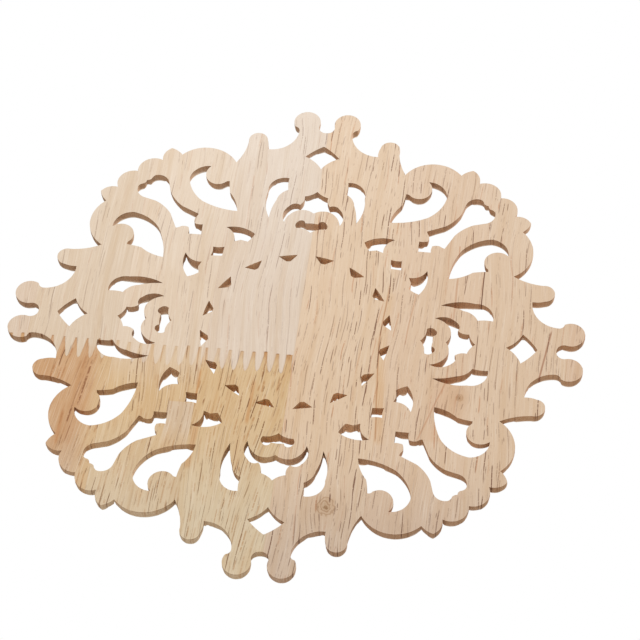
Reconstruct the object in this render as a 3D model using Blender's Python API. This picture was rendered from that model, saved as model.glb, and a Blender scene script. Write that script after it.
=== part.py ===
"""Round pierced wood applique, carved from one glued-up board.

The drawing is one eighth of the ornament, the wedge between an axis and a diagonal.
Its x runs sideways from the axis and its y runs outwards, both in millimetres, and its z is the
height of the carved face above the flat back. Eight mirrored copies make the whole piece, which
then stands upright with its back at y = 0, facing +Y, and its carved face towards -Y.
"""
import math

import bmesh
import bpy
import numpy as np
from mathutils import Vector
from mathutils.geometry import delaunay_2d_cdt

MM = 0.001
WEDGES = 8                    # mirrored copies of the wedge in the whole round
WEDGE = 360 / WEDGES          # degrees from the axis to the diagonal

# driving dimensions, in millimetres
ACROSS = 298.0                # tip to tip along either axis
CROWN = 13.0                  # board thickness at the highest carving
THICK_TO = 60.0               # radius up to which the carving keeps its full height
THIN_FROM = 100.0             # radius from which it is thinnest
THINNED = 0.62                # part of its height left there
EDGE_NEAR = 4.0               # upright sawn wall left at an edge near the ring
EDGE_FAR = 2.3                # and at the rim
GROUND = 6.8                  # lowered ground between the leaves
EDGE_ROUND = 3.6              # how far in from an edge the carving reaches its height
ARC_SAG = 0.18                # how far a straight facet may leave its true arc

# round forms of the outline: sideways, outwards, radius
BULB = (11.2, 141.6, 7.4)
STUB = (36.2, 126.3, 5.3)
SCROLL = (62.0, 99.7, 18.4)
LOBE = (90.0, 99.5, 8.3)
VOLUTE = (54.0, 100.0, 6.0)

# button in the middle, a dome inside a raised rim
BUTTON = 8.6
BUTTON_FOOT = 10.6
BUTTON_TOP = CROWN
BUTTON_RIM = 10.6
BUTTON_RIM_FOOT = 9.6
BUTTON_RIM_TOP = 11.5

# spokes round the button, each of two beads: outwards, half length, half width, height
SPOKES = 16
BEADS = [(12.6, 2.3, 1.75, 10.7), (16.9, 2.8, 2.5, 10.9)]
BEAD_FOOT = 8.2

# petals, each a dished blade with a raised edge and a domed belly
PETAL_ROOT = 17.0
PETAL_TIP = 47.5
PETAL_AT = WEDGE / 2          # degrees from the axis to a petal's middle
PETAL_TOP = 11.0
PETAL_LIFT = 1.2              # how much higher the raised edge stands at the tip
PETAL_LIFT_FROM = 0.6         # part of the length where it starts to lift
PETAL_DISH = 1.9
PETAL_DISH_CURVE = 2.2
PETAL_RIM = 0.82              # the raised edge, as a part of the half width
# half width of a petal at parts of its length
PETAL_SHAPE = [(0.0, 4.4), (0.22, 8.6), (0.45, 11.0), (0.62, 11.0), (0.78, 8.0), (0.9, 3.8),
               (1.0, 0.5)]
BELLY = (29.5, 8.6, 5.4)      # outwards, half length, half width
BELLY_FOOT = 8.8
BELLY_TOP = 11.5

# rounded lobes between the petals: outwards, half length, half width
BACK_LOBE = (39.0, 9.0, 6.0)
BACK_LOBE_AT = (0.0, WEDGE)   # degrees from the axis
BACK_LOBE_FOOT = 7.2
BACK_LOBE_TOP = 10.2
ROSETTE_FLOOR = 7.0

# ring of scooped facets round the rosette
RING_IN = 49.8
RING_OUT = 60.0
RING_FACETS = 24
RING_TOP = 12.2
SCOOP = 3.4                   # depth in the middle of a facet
SCOOP_CURVE = 0.55            # share of that depth gone at the ring's two edges
FACET_LEAN = 0.8              # how far one side of a facet stands above the other

# a hollowed stroke's raised edge, as a part of its half width
GOUGE_RIM = 0.66

# spacing of the points that carry the carving
STROKE_STEP = 5.4             # along a stroke
ROSETTE_GAP = 1.2             # least room round a point of the rosette
LEAF_GAP = 2.5                # and round a point of the leafwork
EDGE_GAP = 1.1                # least room to a sawn edge
SNAP = 1.2                    # a point nearer than this to a line of symmetry moves onto it
SAME = 0.05                   # points nearer than this are one
HAIR = 0.01
PATH_STEP = 2.0               # how closely a stroke's smooth line is followed
FOOT = 1.04                   # just outside a form's edge, as a part of its half width
RING_INSET = 0.2              # how far inside the ring's edges its outermost points lie
RING_SKIRT = 1.2              # how far outside the ring its foot lies
PETAL_CUTS = (0.08, 0.24, 0.42, 0.6, 0.76, 0.9)
BELLY_SIDE = 0.45             # foot of the belly, as a part of the petal's half width
BUTTON_SIDE = 0.6
BACK_LOBE_CUTS = (33.0, 37.0, 41.0, 45.5)
KNOB_SIDE = 0.74
KNOB_CORNERS = 6

TIDY = 0.001                  # points nearer than this after the filling are the same corner

LIGHT_WOOD = (0.79, 0.62, 0.46, 1.0)
BARE = 0.62                   # roughness of bare sanded wood


def swing(centre):
    """Marks a run that turns clockwise about the centre of a round form."""
    return ("round", centre[0], centre[1])


# An outline is a list of corners: sideways, outwards, and how the run to the next corner goes.
# A number bows the run to its left by so many millimetres, and a swing turns about a centre.
CONTOUR = [
    (0.0, 134.8, -1.7), (4.2, 139.8, swing(BULB)), (BULB[0], ACROSS / 2, swing(BULB)),
    (17.2, 138.0, -0.9), (14.6, 134.6, -4.4), (30.2, 120.4, 0.4), (31.0, 126.8, swing(STUB)),
    (41.3, 125.2, -1.0),
    (46.2, 109.4, swing(SCROLL)), (76.2, 112.0, 0.6), (82.4, 116.0, 1.6),
    (86.2, 107.2, swing(LOBE)), (98.3, 98.3, 0.0)]

# These holes are cut in two by the axis or by the diagonal.
HALF_HOLES = [
    # diamond between the two outer bulbs
    [(0.0, 125.0, 0.5), (9.2, 117.0, -1.0), (0.0, 109.0, 0.0)],
    # wide moustache
    [(0.0, 93.2, -0.6), (6.3, 89.4, -0.8), (8.0, 83.4, 1.2), (13.4, 82.2, 2.0),
     (14.9, 71.0, -1.2), (9.0, 79.3, -1.3), (0.0, 78.0, 0.0)],
    # small moustache
    [(0.0, 71.2, 0.0), (3.4, 70.9, 0.4), (5.1, 72.8, 0.4), (7.4, 71.8, 1.0), (7.7, 67.4, -0.9),
     (0.0, 64.8, 0.0)],
]
CORNER_HOLES = [
    # trumpet along the diagonal
    [(92.3, 92.3, 0.3), (89.9, 93.4, -0.4), (88.0, 96.2, -1.8), (80.3, 92.0, 0.0),
     (78.4, 85.5, 0.8), (70.5, 76.2, 0.0), (61.2, 71.9, -0.2), (62.6, 69.2, 0.4),
     (62.3, 65.2, 0.3), (57.9, 64.8, 0.0), (57.9, 57.9, 0.0)],
    # small square
    [(50.4, 50.4, 0.4), (44.4, 50.8, 0.0), (44.8, 44.8, 0.0)],
]
# These holes lie inside the wedge.
WHOLE_HOLES = [
    # crescent
    [(16.0, 101.0, 3.7), (26.2, 91.0, 1.6), (23.4, 73.2, -0.6), (21.0, 85.5, -1.2),
     (15.6, 93.0, -0.4)],
    # hooked opening round the volute
    [(41.0, 75.8, -1.2), (60.5, 81.0, -1.8), (69.7, 96.0, -2.9), (59.2, 105.6, swing(VOLUTE)),
     (50.2, 94.9, -0.4), (47.8, 96.0, 0.2), (46.4, 88.0, -1.0)],
    # wing
    [(29.4, 61.2, 2.0), (45.2, 64.2, -1.8), (39.9, 55.0, 0.0), (36.4, 56.4, 0.0),
     (32.6, 55.6, 0.3)],
]
RING_HOLE_OUT = 49.6
RING_HOLE_IN = 45.5
RING_HOLE_SPAN = 5.9          # degrees to each side, on the outer edge
RING_HOLE_TOE = 1.4           # degrees to each side, on the inner edge
RING_HOLE_BOW = 0.2
RING_HOLES_AT = (11.25, 33.75)

# A stroke of carving is a line of places: sideways, outwards, half width, height.
# A hollowed stroke is gouged out along its middle between two raised edges.
HOLLOWED = {
    "scroll": (3.4, [
        (36.5, 46, 2.6, 9.6), (43.2, 57.2, 3.2, 10.4), (50.2, 66.6, 4.8, 11.6),
        (58.4, 74.2, 5.0, 12.4), (66.6, 79.8, 5.4, 12.9), (73.4, 88, 5.6, 13.0),
        (75.2, 97, 5.8, 13.0), (72.6, 105.6, 6.0, 13.0), (65.4, 111.6, 6.4, 13.0),
        (57.2, 112, 6.2, 13.0), (50.6, 107.4, 5.6, 12.8), (48.6, 101, 4.4, 12.2)]),
    "stub_leaf": (3.0, [
        (24, 52.5, 3.4, 9.6), (26.6, 62, 4.6, 10.8), (30.2, 73, 5.6, 11.8), (33.2, 84, 6.4, 12.2),
        (34, 96, 6.8, 12.4), (34.2, 107, 6.8, 12.2), (35.4, 117, 6.6, 12.0),
        (36.2, 126, 6.0, 12.4), (36.2, 131, 5.6, 12.6)]),
    "bulb_leg": (2.2, [
        (14.6, 57.5, 3.0, 9.6), (19.2, 66, 4.0, 10.6), (20, 75, 3.8, 11.2), (18.2, 84, 3.8, 11.4),
        (13.2, 93, 4.6, 11.6), (11, 101, 5.0, 11.8), (13.2, 110, 5.2, 12.0),
        (15, 119, 5.4, 12.0), (13.6, 129, 5.4, 12.2), (11.6, 137, 5.4, 12.0)]),
}
# A rounded stroke is a plain roll.
ROUNDED = {
    "web_leaf": [(25, 101, 2.4, 9.6), (22.8, 108, 4.6, 10.8), (22.4, 115, 4.6, 10.8),
                 (25, 121.5, 3.0, 9.6)],
    "heart": [(0, 95.5, 3.4, 10.0), (0, 101, 6.4, 11.2), (0, 107.5, 3.0, 10.4)],
    "brow": [(0, 127.5, 6.0, 10.2), (0, 132.5, 7.0, 10.8)],
    "vein": [(41.6, 70, 2.6, 9.8), (43.4, 82, 3.4, 10.8), (44.2, 92, 3.8, 11.2),
             (43.6, 101.5, 4.0, 11.2), (45.6, 108.5, 2.8, 10.6)],
    "curl": [(12.0, 60, 3.2, 9.8), (12.2, 67, 3.6, 10.6), (10.8, 73.2, 3.4, 11.0),
             (6.6, 76.4, 3.0, 11.0), (2.8, 74.9, 2.8, 10.8), (0, 74.2, 2.4, 10.4)],
    "root_leaf": [(28.6, 54.8, 2.6, 9.4), (35, 52.4, 3.4, 10.2), (41, 48.6, 3.0, 9.8)],
    "calyx": [(49.4, 54.6, 2.8, 9.8), (53.6, 60.4, 4.0, 10.8), (58.2, 68.2, 3.4, 10.8)],
    "tip_leaf": [(78.2, 94.5, 2.8, 10.6), (81.2, 102, 4.8, 11.6), (82.4, 109, 4.6, 11.6),
                 (82.4, 115, 2.6, 10.8)],
}
# A knob is a low dome: sideways, outwards, radius, height.
KNOBS = {
    "bulb": (BULB[0], BULB[1], 7.6, 12.6),
    "volute": (VOLUTE[0], VOLUTE[1], 6.6, 13.0),
    "lobe": (89.6, 100.6, 8.0, 12.0),
    "corner_bead": (95.4, 95.4, 3.6, 10.4),
    "neck_bead": (54.2, 54.2, 4.4, 10.6),
    "root_bead": (0.0, 62.0, 4.4, 9.8),
}


def polar(radius, degrees):
    """The place at a radius and an angle from the axis."""
    angle = math.radians(degrees)
    return (radius * math.sin(angle), radius * math.cos(angle))


def turned_points(start, end, centre, turn):
    """Points after the start, up to the end, turning about a centre (turn 1 is anticlockwise)."""
    first_radius = math.dist(start, centre)
    last_radius = math.dist(end, centre)
    first = math.atan2(start[1] - centre[1], start[0] - centre[0])
    last = math.atan2(end[1] - centre[1], end[0] - centre[0])
    sweep = (last - first) * turn % (2 * math.pi)
    widest = max(first_radius, last_radius)
    count = max(1, math.ceil(sweep / (2 * math.acos(1 - ARC_SAG / widest))))
    points = []
    for k in range(1, count):
        part = k / count
        radius = first_radius + (last_radius - first_radius) * part
        angle = first + turn * sweep * part
        points.append((centre[0] + radius * math.cos(angle), centre[1] + radius * math.sin(angle)))
    points.append(end)
    return points


def bowed_points(start, end, bow):
    """Points after the start, up to the end, on the arc that leaves the straight run by bow."""
    if bow == 0:
        return [end]
    run = math.dist(start, end)
    radius = (run * run / 4 + bow * bow) / (2 * abs(bow))
    side = math.copysign(1, bow)
    left = (-(end[1] - start[1]) / run * side, (end[0] - start[0]) / run * side)
    back = radius - abs(bow)
    centre = ((start[0] + end[0]) / 2 - left[0] * back, (start[1] + end[1]) / 2 - left[1] * back)
    return turned_points(start, end, centre, -side)


def outline(corners, closed):
    """The points of an outline, from its list of corners."""
    points = [corners[0][:2]]
    last = len(corners) if closed else len(corners) - 1
    for i in range(last):
        start = corners[i][:2]
        end = corners[(i + 1) % len(corners)][:2]
        way = corners[i][2]
        if isinstance(way, tuple):
            points += turned_points(start, end, way[1:], -1)
        else:
            points += bowed_points(start, end, way)
    return points[:-1] if closed else points


def ring_hole(middle):
    """One opening between the petals and the ring, a flat triangle with a blunt toe."""
    return [polar(RING_HOLE_OUT, middle - RING_HOLE_SPAN) + (RING_HOLE_BOW,),
            polar(RING_HOLE_OUT, middle + RING_HOLE_SPAN) + (0.0,),
            polar(RING_HOLE_IN, middle + RING_HOLE_TOE) + (0.0,),
            polar(RING_HOLE_IN, middle - RING_HOLE_TOE) + (0.0,)]


def smooth_path(places, step):
    """Places along a smooth curve through the given ones, about a step apart."""
    given = np.array(places, dtype=float)
    ends = np.vstack([2 * given[0] - given[1], given, 2 * given[-1] - given[-2]])
    path = []
    for i in range(1, len(ends) - 2):
        before, here, after, beyond = ends[i - 1:i + 3]
        count = max(1, round(math.dist(here[:2], after[:2]) / step))
        for k in range(count):
            t = k / count
            path.append(0.5 * (2 * here + (after - before) * t
                               + (2 * before - 5 * here + 4 * after - beyond) * t ** 2
                               + (3 * here - before - 3 * after + beyond) * t ** 3))
    path.append(given[-1])
    return np.array(path)


def across_path(x, y, path):
    """How far each point lies from a path, in half widths, and the path's height there."""
    nearest = np.full(x.shape, np.inf)
    top = np.zeros(x.shape)
    for a, b in zip(path[:-1], path[1:]):
        along = b[:2] - a[:2]
        part = ((x - a[0]) * along[0] + (y - a[1]) * along[1]) / (along @ along)
        part = np.clip(part, 0, 1)
        here = a[:, None] + (b - a)[:, None] * part
        share = np.hypot(x - here[0], y - here[1]) / here[2]
        closer = share < nearest
        nearest = np.where(closer, share, nearest)
        top = np.where(closer, here[3], top)
    return nearest, top


def quarter_round(share):
    """Falls from 1 to 0 along a quarter circle as the share goes from 0 to 1."""
    return np.sqrt(np.clip(1 - np.clip(share, 0, 1) ** 2, 0, 1))


def dome(share, base, top):
    """A dome that is gone where the share of its radius reaches 1."""
    return np.where(share < 1, base + (top - base) * quarter_round(share), 0.0)


def hollow(share, depth, top):
    """A gouged section: dished in the middle, raised near its edges, falling to the ground."""
    dished = top - depth * (1 - np.clip(share / GOUGE_RIM, 0, 1) ** 2)
    falling = GROUND + (top - GROUND) * quarter_round((share - GOUGE_RIM) / (1 - GOUGE_RIM))
    return np.where(share < GOUGE_RIM, dished, np.where(share < 1, falling, 0.0))


def leafwork(x, y):
    """Height of the scrolls, leaves and knobs outside the ring."""
    height = np.full(x.shape, GROUND)
    for side, out in ((x, y), (-x, y), (y, x)):
        for depth, places in HOLLOWED.values():
            share, top = across_path(side, out, smooth_path(places, PATH_STEP))
            height = np.maximum(height, hollow(share, depth, top))
        for places in ROUNDED.values():
            share, top = across_path(side, out, smooth_path(places, PATH_STEP))
            height = np.maximum(height, dome(share, GROUND, top))
        for at_x, at_y, radius, top in KNOBS.values():
            share = np.hypot(side - at_x, out - at_y) / radius
            height = np.maximum(height, dome(share, GROUND, top))
    return height


def petal_half_width(part):
    """Half the width of a petal at a part of its length."""
    length = PETAL_TIP - PETAL_ROOT
    shape = smooth_path([(t * length, half, 0, 0) for t, half in PETAL_SHAPE], 1.0)
    return np.interp(part, shape[:, 0] / length, shape[:, 1])


def petals(radius, angle):
    """Height of the eight pointed petals, dished round a domed belly."""
    turn = np.radians(angle - PETAL_AT)
    along = radius * np.cos(turn)
    aside = np.abs(radius * np.sin(turn))
    part = (along - PETAL_ROOT) / (PETAL_TIP - PETAL_ROOT)
    share = aside / petal_half_width(np.clip(part, 0, 1))
    lift = np.clip((part - PETAL_LIFT_FROM) / (1 - PETAL_LIFT_FROM), 0, 1)
    rim = PETAL_TOP + PETAL_LIFT * lift
    dished = rim - PETAL_DISH * (1 - np.clip(share / PETAL_RIM, 0, 1) ** PETAL_DISH_CURVE)
    falling = GROUND + (rim - GROUND) * quarter_round((share - PETAL_RIM) / (1 - PETAL_RIM))
    blade = np.where(share < PETAL_RIM, dished, falling)
    blade = np.where((share < 1) & (part > 0) & (part < 1), blade, 0.0)
    out, half_length, half_width = BELLY
    belly = dome(np.hypot((along - out) / half_length, aside / half_width), BELLY_FOOT, BELLY_TOP)
    return np.maximum(blade, belly)


def button(radius):
    """Height of the middle button inside its raised rim."""
    middle = (BUTTON + BUTTON_RIM) / 2
    rim = dome(np.abs(radius - middle) / (BUTTON_RIM - middle), BUTTON_RIM_FOOT, BUTTON_RIM_TOP)
    return np.where(radius < BUTTON, dome(radius / BUTTON, BUTTON_FOOT, BUTTON_TOP), rim)


def spokes(radius, angle):
    """Height of the spokes round the button, each of two beads."""
    pitch = 360 / SPOKES
    aside = radius * np.radians((angle + pitch / 2) % pitch - pitch / 2)
    height = np.zeros(radius.shape)
    for out, half_length, half_width, top in BEADS:
        share = np.hypot((radius - out) / half_length, aside / half_width)
        height = np.maximum(height, dome(share, BEAD_FOOT, top))
    return height


def back_lobes(radius, angle):
    """Height of the rounded lobes that show between the petals."""
    out, half_length, half_width = BACK_LOBE
    height = np.zeros(radius.shape)
    for middle in BACK_LOBE_AT:
        turn = np.radians(angle - middle)
        share = np.hypot((radius * np.cos(turn) - out) / half_length,
                         radius * np.sin(turn) / half_width)
        height = np.maximum(height, dome(share, BACK_LOBE_FOOT, BACK_LOBE_TOP))
    return height


def scalloped_ring(radius, angle):
    """Height of the ring of scooped facets."""
    pitch = 360 / RING_FACETS
    part = 2 * ((angle % pitch) / pitch - 0.5)
    middle = (RING_IN + RING_OUT) / 2
    across = (radius - middle) / (RING_OUT - middle)
    scoop = 1 - np.clip(part ** 2 + SCOOP_CURVE * across ** 2, 0, 1)
    height = RING_TOP - SCOOP * scoop + FACET_LEAN * part / 2 * (1 - np.abs(across))
    return np.where(np.abs(across) < 1, height, 0.0)


def carved_height(x, y, from_edge):
    """Height of the carved face at points of the wedge, rounded off towards the sawn edges."""
    radius = np.hypot(x, y)
    angle = np.degrees(np.arctan2(x, y))
    floor = np.full(radius.shape, ROSETTE_FLOOR)
    rosette = np.maximum.reduce([floor, button(radius), spokes(radius, angle),
                                 petals(radius, angle), back_lobes(radius, angle),
                                 scalloped_ring(radius, angle)])
    outwards = np.clip((radius - THICK_TO) / (THIN_FROM - THICK_TO), 0, 1)
    left = 1 - (1 - THINNED) * outwards
    height = np.where(radius < RING_OUT, rosette, leafwork(x, y) * left)
    edge = EDGE_NEAR + (EDGE_FAR - EDGE_NEAR) * outwards
    cap = edge + (CROWN * left - edge) * quarter_round(1 - from_edge / EDGE_ROUND)
    return np.minimum(height, cap)


def distance_to(x, y, loops):
    """Distance from each point to the nearest run of the outlines."""
    nearest = np.full(x.shape, np.inf)
    for loop in loops:
        for a, b in zip(loop[:-1], loop[1:]):
            along = (b[0] - a[0], b[1] - a[1])
            length = along[0] ** 2 + along[1] ** 2
            part = np.clip(((x - a[0]) * along[0] + (y - a[1]) * along[1]) / length, 0, 1)
            gap = np.hypot(x - a[0] - along[0] * part, y - a[1] - along[1] * part)
            nearest = np.minimum(nearest, gap)
    return nearest


def wedge_outlines():
    """The wedge's rim, as one loop round the material, its inner holes, and the sawn runs."""
    contour = outline(CONTOUR, False)
    notches = [outline(corners, False) for corners in HALF_HOLES]
    corner_notches = [outline(corners, False) for corners in CORNER_HOLES]
    holes = [outline(corners, True) for corners in WHOLE_HOLES]
    holes += [outline(ring_hole(middle), True) for middle in RING_HOLES_AT]
    rim = [(0.0, 0.0)]
    for notch in sorted(notches, key=lambda run: run[-1][1]):
        rim += reversed(notch)
    rim += contour
    for notch in sorted(corner_notches, key=lambda run: -run[0][0]):
        rim += notch
    sawn = [contour] + notches + corner_notches + [hole + hole[:1] for hole in holes]
    return rim, holes, sawn


def inside(x, y, loop):
    """Whether a point lies inside a closed loop."""
    crossings = 0
    for a, b in zip(loop, loop[1:] + loop[:1]):
        if (a[1] > y) != (b[1] > y):
            crossings += x < a[0] + (y - a[1]) * (b[0] - a[0]) / (b[1] - a[1])
    return crossings % 2 == 1


def stroke_lines(places, shares):
    """Lines along a stroke, one at each share of its half width."""
    path = smooth_path(places, STROKE_STEP)
    lines = [[] for _share in shares]
    for i, here in enumerate(path):
        ahead = path[min(i + 1, len(path) - 1)] - path[max(i - 1, 0)]
        aside = np.array([-ahead[1], ahead[0]]) / math.hypot(ahead[0], ahead[1])
        for line, share in zip(lines, shares):
            line.append(tuple(here[:2] + aside * share * here[2]))
    return lines


def circle_line(radius, pitch, shift=0.0):
    """Points on a circle about the middle, one for each pitch of degrees within the wedge."""
    count = int((WEDGE - shift) / pitch + HAIR) + 1
    return [polar(radius, shift + pitch * k) for k in range(count)]


def petal_lines():
    """Lines down a petal: its spine, the foot of its belly, its raised edge and its flank."""
    lines = []
    for share in (0.0, PETAL_RIM, -PETAL_RIM, FOOT, -FOOT, BELLY_SIDE, -BELLY_SIDE):
        line = []
        for part in PETAL_CUTS:
            along = PETAL_ROOT + (PETAL_TIP - PETAL_ROOT) * part
            aside = float(petal_half_width(part)) * share
            turn = math.degrees(math.atan2(aside, along)) + PETAL_AT
            line.append(polar(math.hypot(along, aside), turn))
        lines.append(line)
    return lines


def ring_lines():
    """The ring's two edges, its middle and its foot, and the ridges between its facets."""
    facet = 360 / RING_FACETS
    middle = (RING_IN + RING_OUT) / 2
    outer = RING_OUT - RING_INSET
    inner = RING_IN + RING_INSET
    lines = [circle_line(outer, facet / 2), circle_line(inner, facet / 2),
             circle_line(RING_OUT + RING_SKIRT, facet)]
    lines += [[polar(radius, facet * k) for radius in (inner, middle, outer)]
              for k in range(RING_FACETS // WEDGES + 1)]
    return lines + [[point] for point in circle_line(middle, facet, facet / 2)]


def rosette_lines():
    """Lines where the button, the spokes, the petals and the ring turn."""
    spoke = 360 / SPOKES
    lines = ring_lines()
    lines += [circle_line(radius, spoke) for radius in
              (BUTTON_RIM, (BUTTON + BUTTON_RIM) / 2, BUTTON, BUTTON * BUTTON_SIDE)]
    inner, outer = BEADS[0][0], BEADS[1][0]
    lines += [[polar(radius, spoke * k) for radius in (inner, (inner + outer) / 2, outer)]
              for k in range(SPOKES // WEDGES + 1)]
    lines += [[point] for radius in (inner, outer) for point in
              circle_line(radius, spoke, spoke / 2)]
    lines += petal_lines()
    lines += [[polar(radius, angle) for radius in BACK_LOBE_CUTS] for angle in BACK_LOBE_AT]
    return lines


def knob_lines():
    """The top of each knob, and the ring of points down its side."""
    lines = []
    for at_x, at_y, radius, _top in KNOBS.values():
        lines.append([(at_x, at_y)])
        side = []
        for k in range(KNOB_CORNERS + 1):
            angle = 2 * math.pi * k / KNOB_CORNERS
            side.append((at_x + radius * KNOB_SIDE * math.cos(angle),
                         at_y + radius * KNOB_SIDE * math.sin(angle)))
        lines.append(side)
    return lines


def carving_lines():
    """Lines where the carved face turns, most telling first, each with the room it needs."""
    lines = [(line, ROSETTE_GAP) for line in rosette_lines()]
    lines += [(line, LEAF_GAP) for line in knob_lines()]
    for _depth, places in HOLLOWED.values():
        along = stroke_lines(places, (0.0, GOUGE_RIM, -GOUGE_RIM, FOOT, -FOOT))
        lines += [(line, LEAF_GAP) for line in along]
    for places in ROUNDED.values():
        lines += [(line, LEAF_GAP) for line in stroke_lines(places, (0.0, FOOT, -FOOT))]
    return lines


def snapped(point):
    """A point moved onto the axis or the diagonal where it lies close to one."""
    x, y = point
    if abs(x) < SNAP:
        return (0.0, y)
    if abs(y - x) < SNAP * math.sqrt(2):
        return ((x + y) / 2, (x + y) / 2)
    return (x, y)


def on_one_line(a, b):
    """Whether two points lie on the same line of symmetry."""
    return (a[0] == 0 and b[0] == 0) or (a[0] == a[1] and b[0] == b[1])


def crossing(a, b, c, d):
    """Whether the straight runs a to b and c to d cross between their ends."""
    def turn(p, q, r):
        return (q[0] - p[0]) * (r[1] - p[1]) - (q[1] - p[1]) * (r[0] - p[0])
    return turn(a, b, c) * turn(a, b, d) < 0 and turn(c, d, a) * turn(c, d, b) < 0


def chosen_lines(rim, holes, sawn):
    """The carving points that lie on the material, clear of edges and each other, and their runs."""
    kept = [(0.0, 0.0)]
    runs = []
    walls = [(a, b) for loop in sawn for a, b in zip(loop[:-1], loop[1:])]
    for line, gap in carving_lines():
        last = None
        for point in line:
            here = chosen(snapped(point), gap, kept, rim, holes, sawn)
            if here and last and here != last and not on_one_line(here, last):
                if not any(crossing(here, last, *other) for other in walls + runs):
                    runs.append((last, here))
            last = here
    return kept[1:], runs


def chosen(point, gap, kept, rim, holes, sawn):
    """The point as it is kept, or none where it lies off the material or too near another."""
    x, y = point
    if x < 0 or y < x:
        return None
    nearest = min(kept, key=lambda other: math.dist(point, other))
    if math.dist(point, nearest) < SAME:
        return nearest
    # a point on a line of symmetry is tested a hair to the inner side of it
    hair = (x + HAIR, y + 2 * HAIR) if x == 0 else (x - HAIR if x == y else x, y)
    if not inside(*hair, rim) or any(inside(*hair, hole) for hole in holes):
        return None
    if distance_to(np.array([x]), np.array([y]), sawn)[0] < EDGE_GAP:
        return None
    if math.dist(point, nearest) < gap:
        return None
    kept.append(point)
    return point


def triangles(rim, holes, extra, runs):
    """Fills the material between the rim and the holes, through extra points and their runs."""
    points = []
    edges = []
    on_line = [p for p in extra if p[0] == 0 or p[0] == p[1]]
    for a, b in zip(rim, rim[1:] + rim[:1]):
        first = len(points)
        points.append(a)
        if on_one_line(a, b):
            between = [p for p in on_line if min(a[1], b[1]) < p[1] < max(a[1], b[1])
                       and on_one_line(a, p) and on_one_line(b, p)]
            between.sort(key=lambda p: math.dist(p, a))
            points += between
        edges += [(k, k + 1) for k in range(first, len(points))]
    edges[-1] = (len(points) - 1, 0)
    for hole in holes:
        first = len(points)
        points += hole
        edges += [(first + k, first + (k + 1) % len(hole)) for k in range(len(hole))]
    points += [p for p in extra if p not in on_line]
    place = {point: i for i, point in enumerate(points)}
    edges += [(place[a], place[b]) for a, b in runs]
    flat, _edges, faces, *_ = delaunay_2d_cdt([Vector(p) for p in points], edges, [], 0,
                                              TIDY / 100)
    filled = []
    for face in faces:
        x = sum(flat[i].x for i in face) / 3
        y = sum(flat[i].y for i in face) / 3
        if inside(x, y, rim) and not any(inside(x, y, hole) for hole in holes):
            filled.append(tuple(face))
    return [tuple(point) for point in flat], filled


def corner_key(point):
    """A key shared by the carved face's corner and the back's corner under it."""
    return (round(point[0] / TIDY), round(point[1] / TIDY))


def wedge_mesh():
    """The wedge as points in space and faces: carved face, sawn walls and flat back."""
    rim, holes, sawn = wedge_outlines()
    front, front_faces = triangles(rim, holes, *chosen_lines(rim, holes, sawn))
    back, back_faces = triangles(rim, holes, [], [])
    x, y = np.array(front).T
    height = carved_height(x, y, distance_to(x, y, sawn))
    points = [(float(a), float(b), float(c)) for a, b, c in zip(x, y, height)]
    below = {corner_key(point): len(points) + i for i, point in enumerate(back)}
    points += [(a, b, 0.0) for a, b in back]
    faces = list(front_faces)
    faces += [tuple(len(front) + i for i in reversed(face)) for face in back_faces]
    sides = {(face[k], face[(k + 1) % 3]) for face in front_faces for k in range(3)}
    for a, b in sides:
        on_axis = front[a][0] == 0 and front[b][0] == 0
        on_diagonal = front[a][0] == front[a][1] and front[b][0] == front[b][1]
        if (b, a) in sides or on_axis or on_diagonal:
            continue
        faces.append((b, a, below[corner_key(front[a])], below[corner_key(front[b])]))
    return points, faces


def all_round(points, faces):
    """Eight copies of the wedge, every second one mirrored."""
    whole_points = []
    whole_faces = []
    for quarter in range(WEDGES // 2):
        for mirrored in (False, True):
            first = len(whole_points)
            for x, y, z in points:
                a, b = (y, x) if mirrored else (x, y)
                for _turn in range(quarter):
                    a, b = -b, a
                whole_points.append((a, b, z))
            for face in faces:
                order = reversed(face) if mirrored else face
                whole_faces.append(tuple(first + i for i in order))
    return whole_points, whole_faces


def applique_mesh():
    """The whole applique as one closed mesh, in metres."""
    points, faces = all_round(*wedge_mesh())
    mesh = bmesh.new()
    corners = [mesh.verts.new((x * MM, y * MM, z * MM)) for x, y, z in points]
    for face in faces:
        mesh.faces.new([corners[i] for i in face])
    bmesh.ops.remove_doubles(mesh, verts=mesh.verts, dist=TIDY * MM)
    bmesh.ops.triangulate(mesh, faces=mesh.faces)
    data = bpy.data.meshes.new("applique")
    mesh.to_mesh(data)
    mesh.free()
    return data


def light_wood():
    """Bare pale hardwood, sanded and unfinished."""
    material = bpy.data.materials.new("light_wood")
    material.use_nodes = True
    surface = material.node_tree.nodes["Principled BSDF"]
    surface.inputs["Base Color"].default_value = LIGHT_WOOD
    surface.inputs["Roughness"].default_value = BARE
    surface.inputs["Metallic"].default_value = 0.0
    return material


def main():
    for old in list(bpy.data.objects):
        bpy.data.objects.remove(old, do_unlink=True)
    data = applique_mesh()
    data.materials.append(light_wood())
    applique = bpy.data.objects.new("applique", data)
    applique.rotation_euler = (math.radians(90), 0.0, 0.0)
    bpy.context.scene.collection.objects.link(applique)


main()
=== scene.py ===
# %% [markdown]
# # A round pierced wood applique
#
# The object is a round ornament about 30 cm across, cut from a board of glued staves. Its back is
# flat and sanded, and its front is carved with a flower, a ring of scooped facets and scrolling
# leaves. It stands upright here, as it does on a wall: the back faces +Y and the carving faces -Y.
#
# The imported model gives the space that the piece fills. Everything below is drawn in millimetres
# and is brought to the frame's metres at the end, so the frame is loaded and measured first.

# %% Load the frame and measure it
import math

import bmesh
import bpy
import numpy as np
from mathutils import Matrix, Vector
from mathutils.geometry import delaunay_2d_cdt


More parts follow.
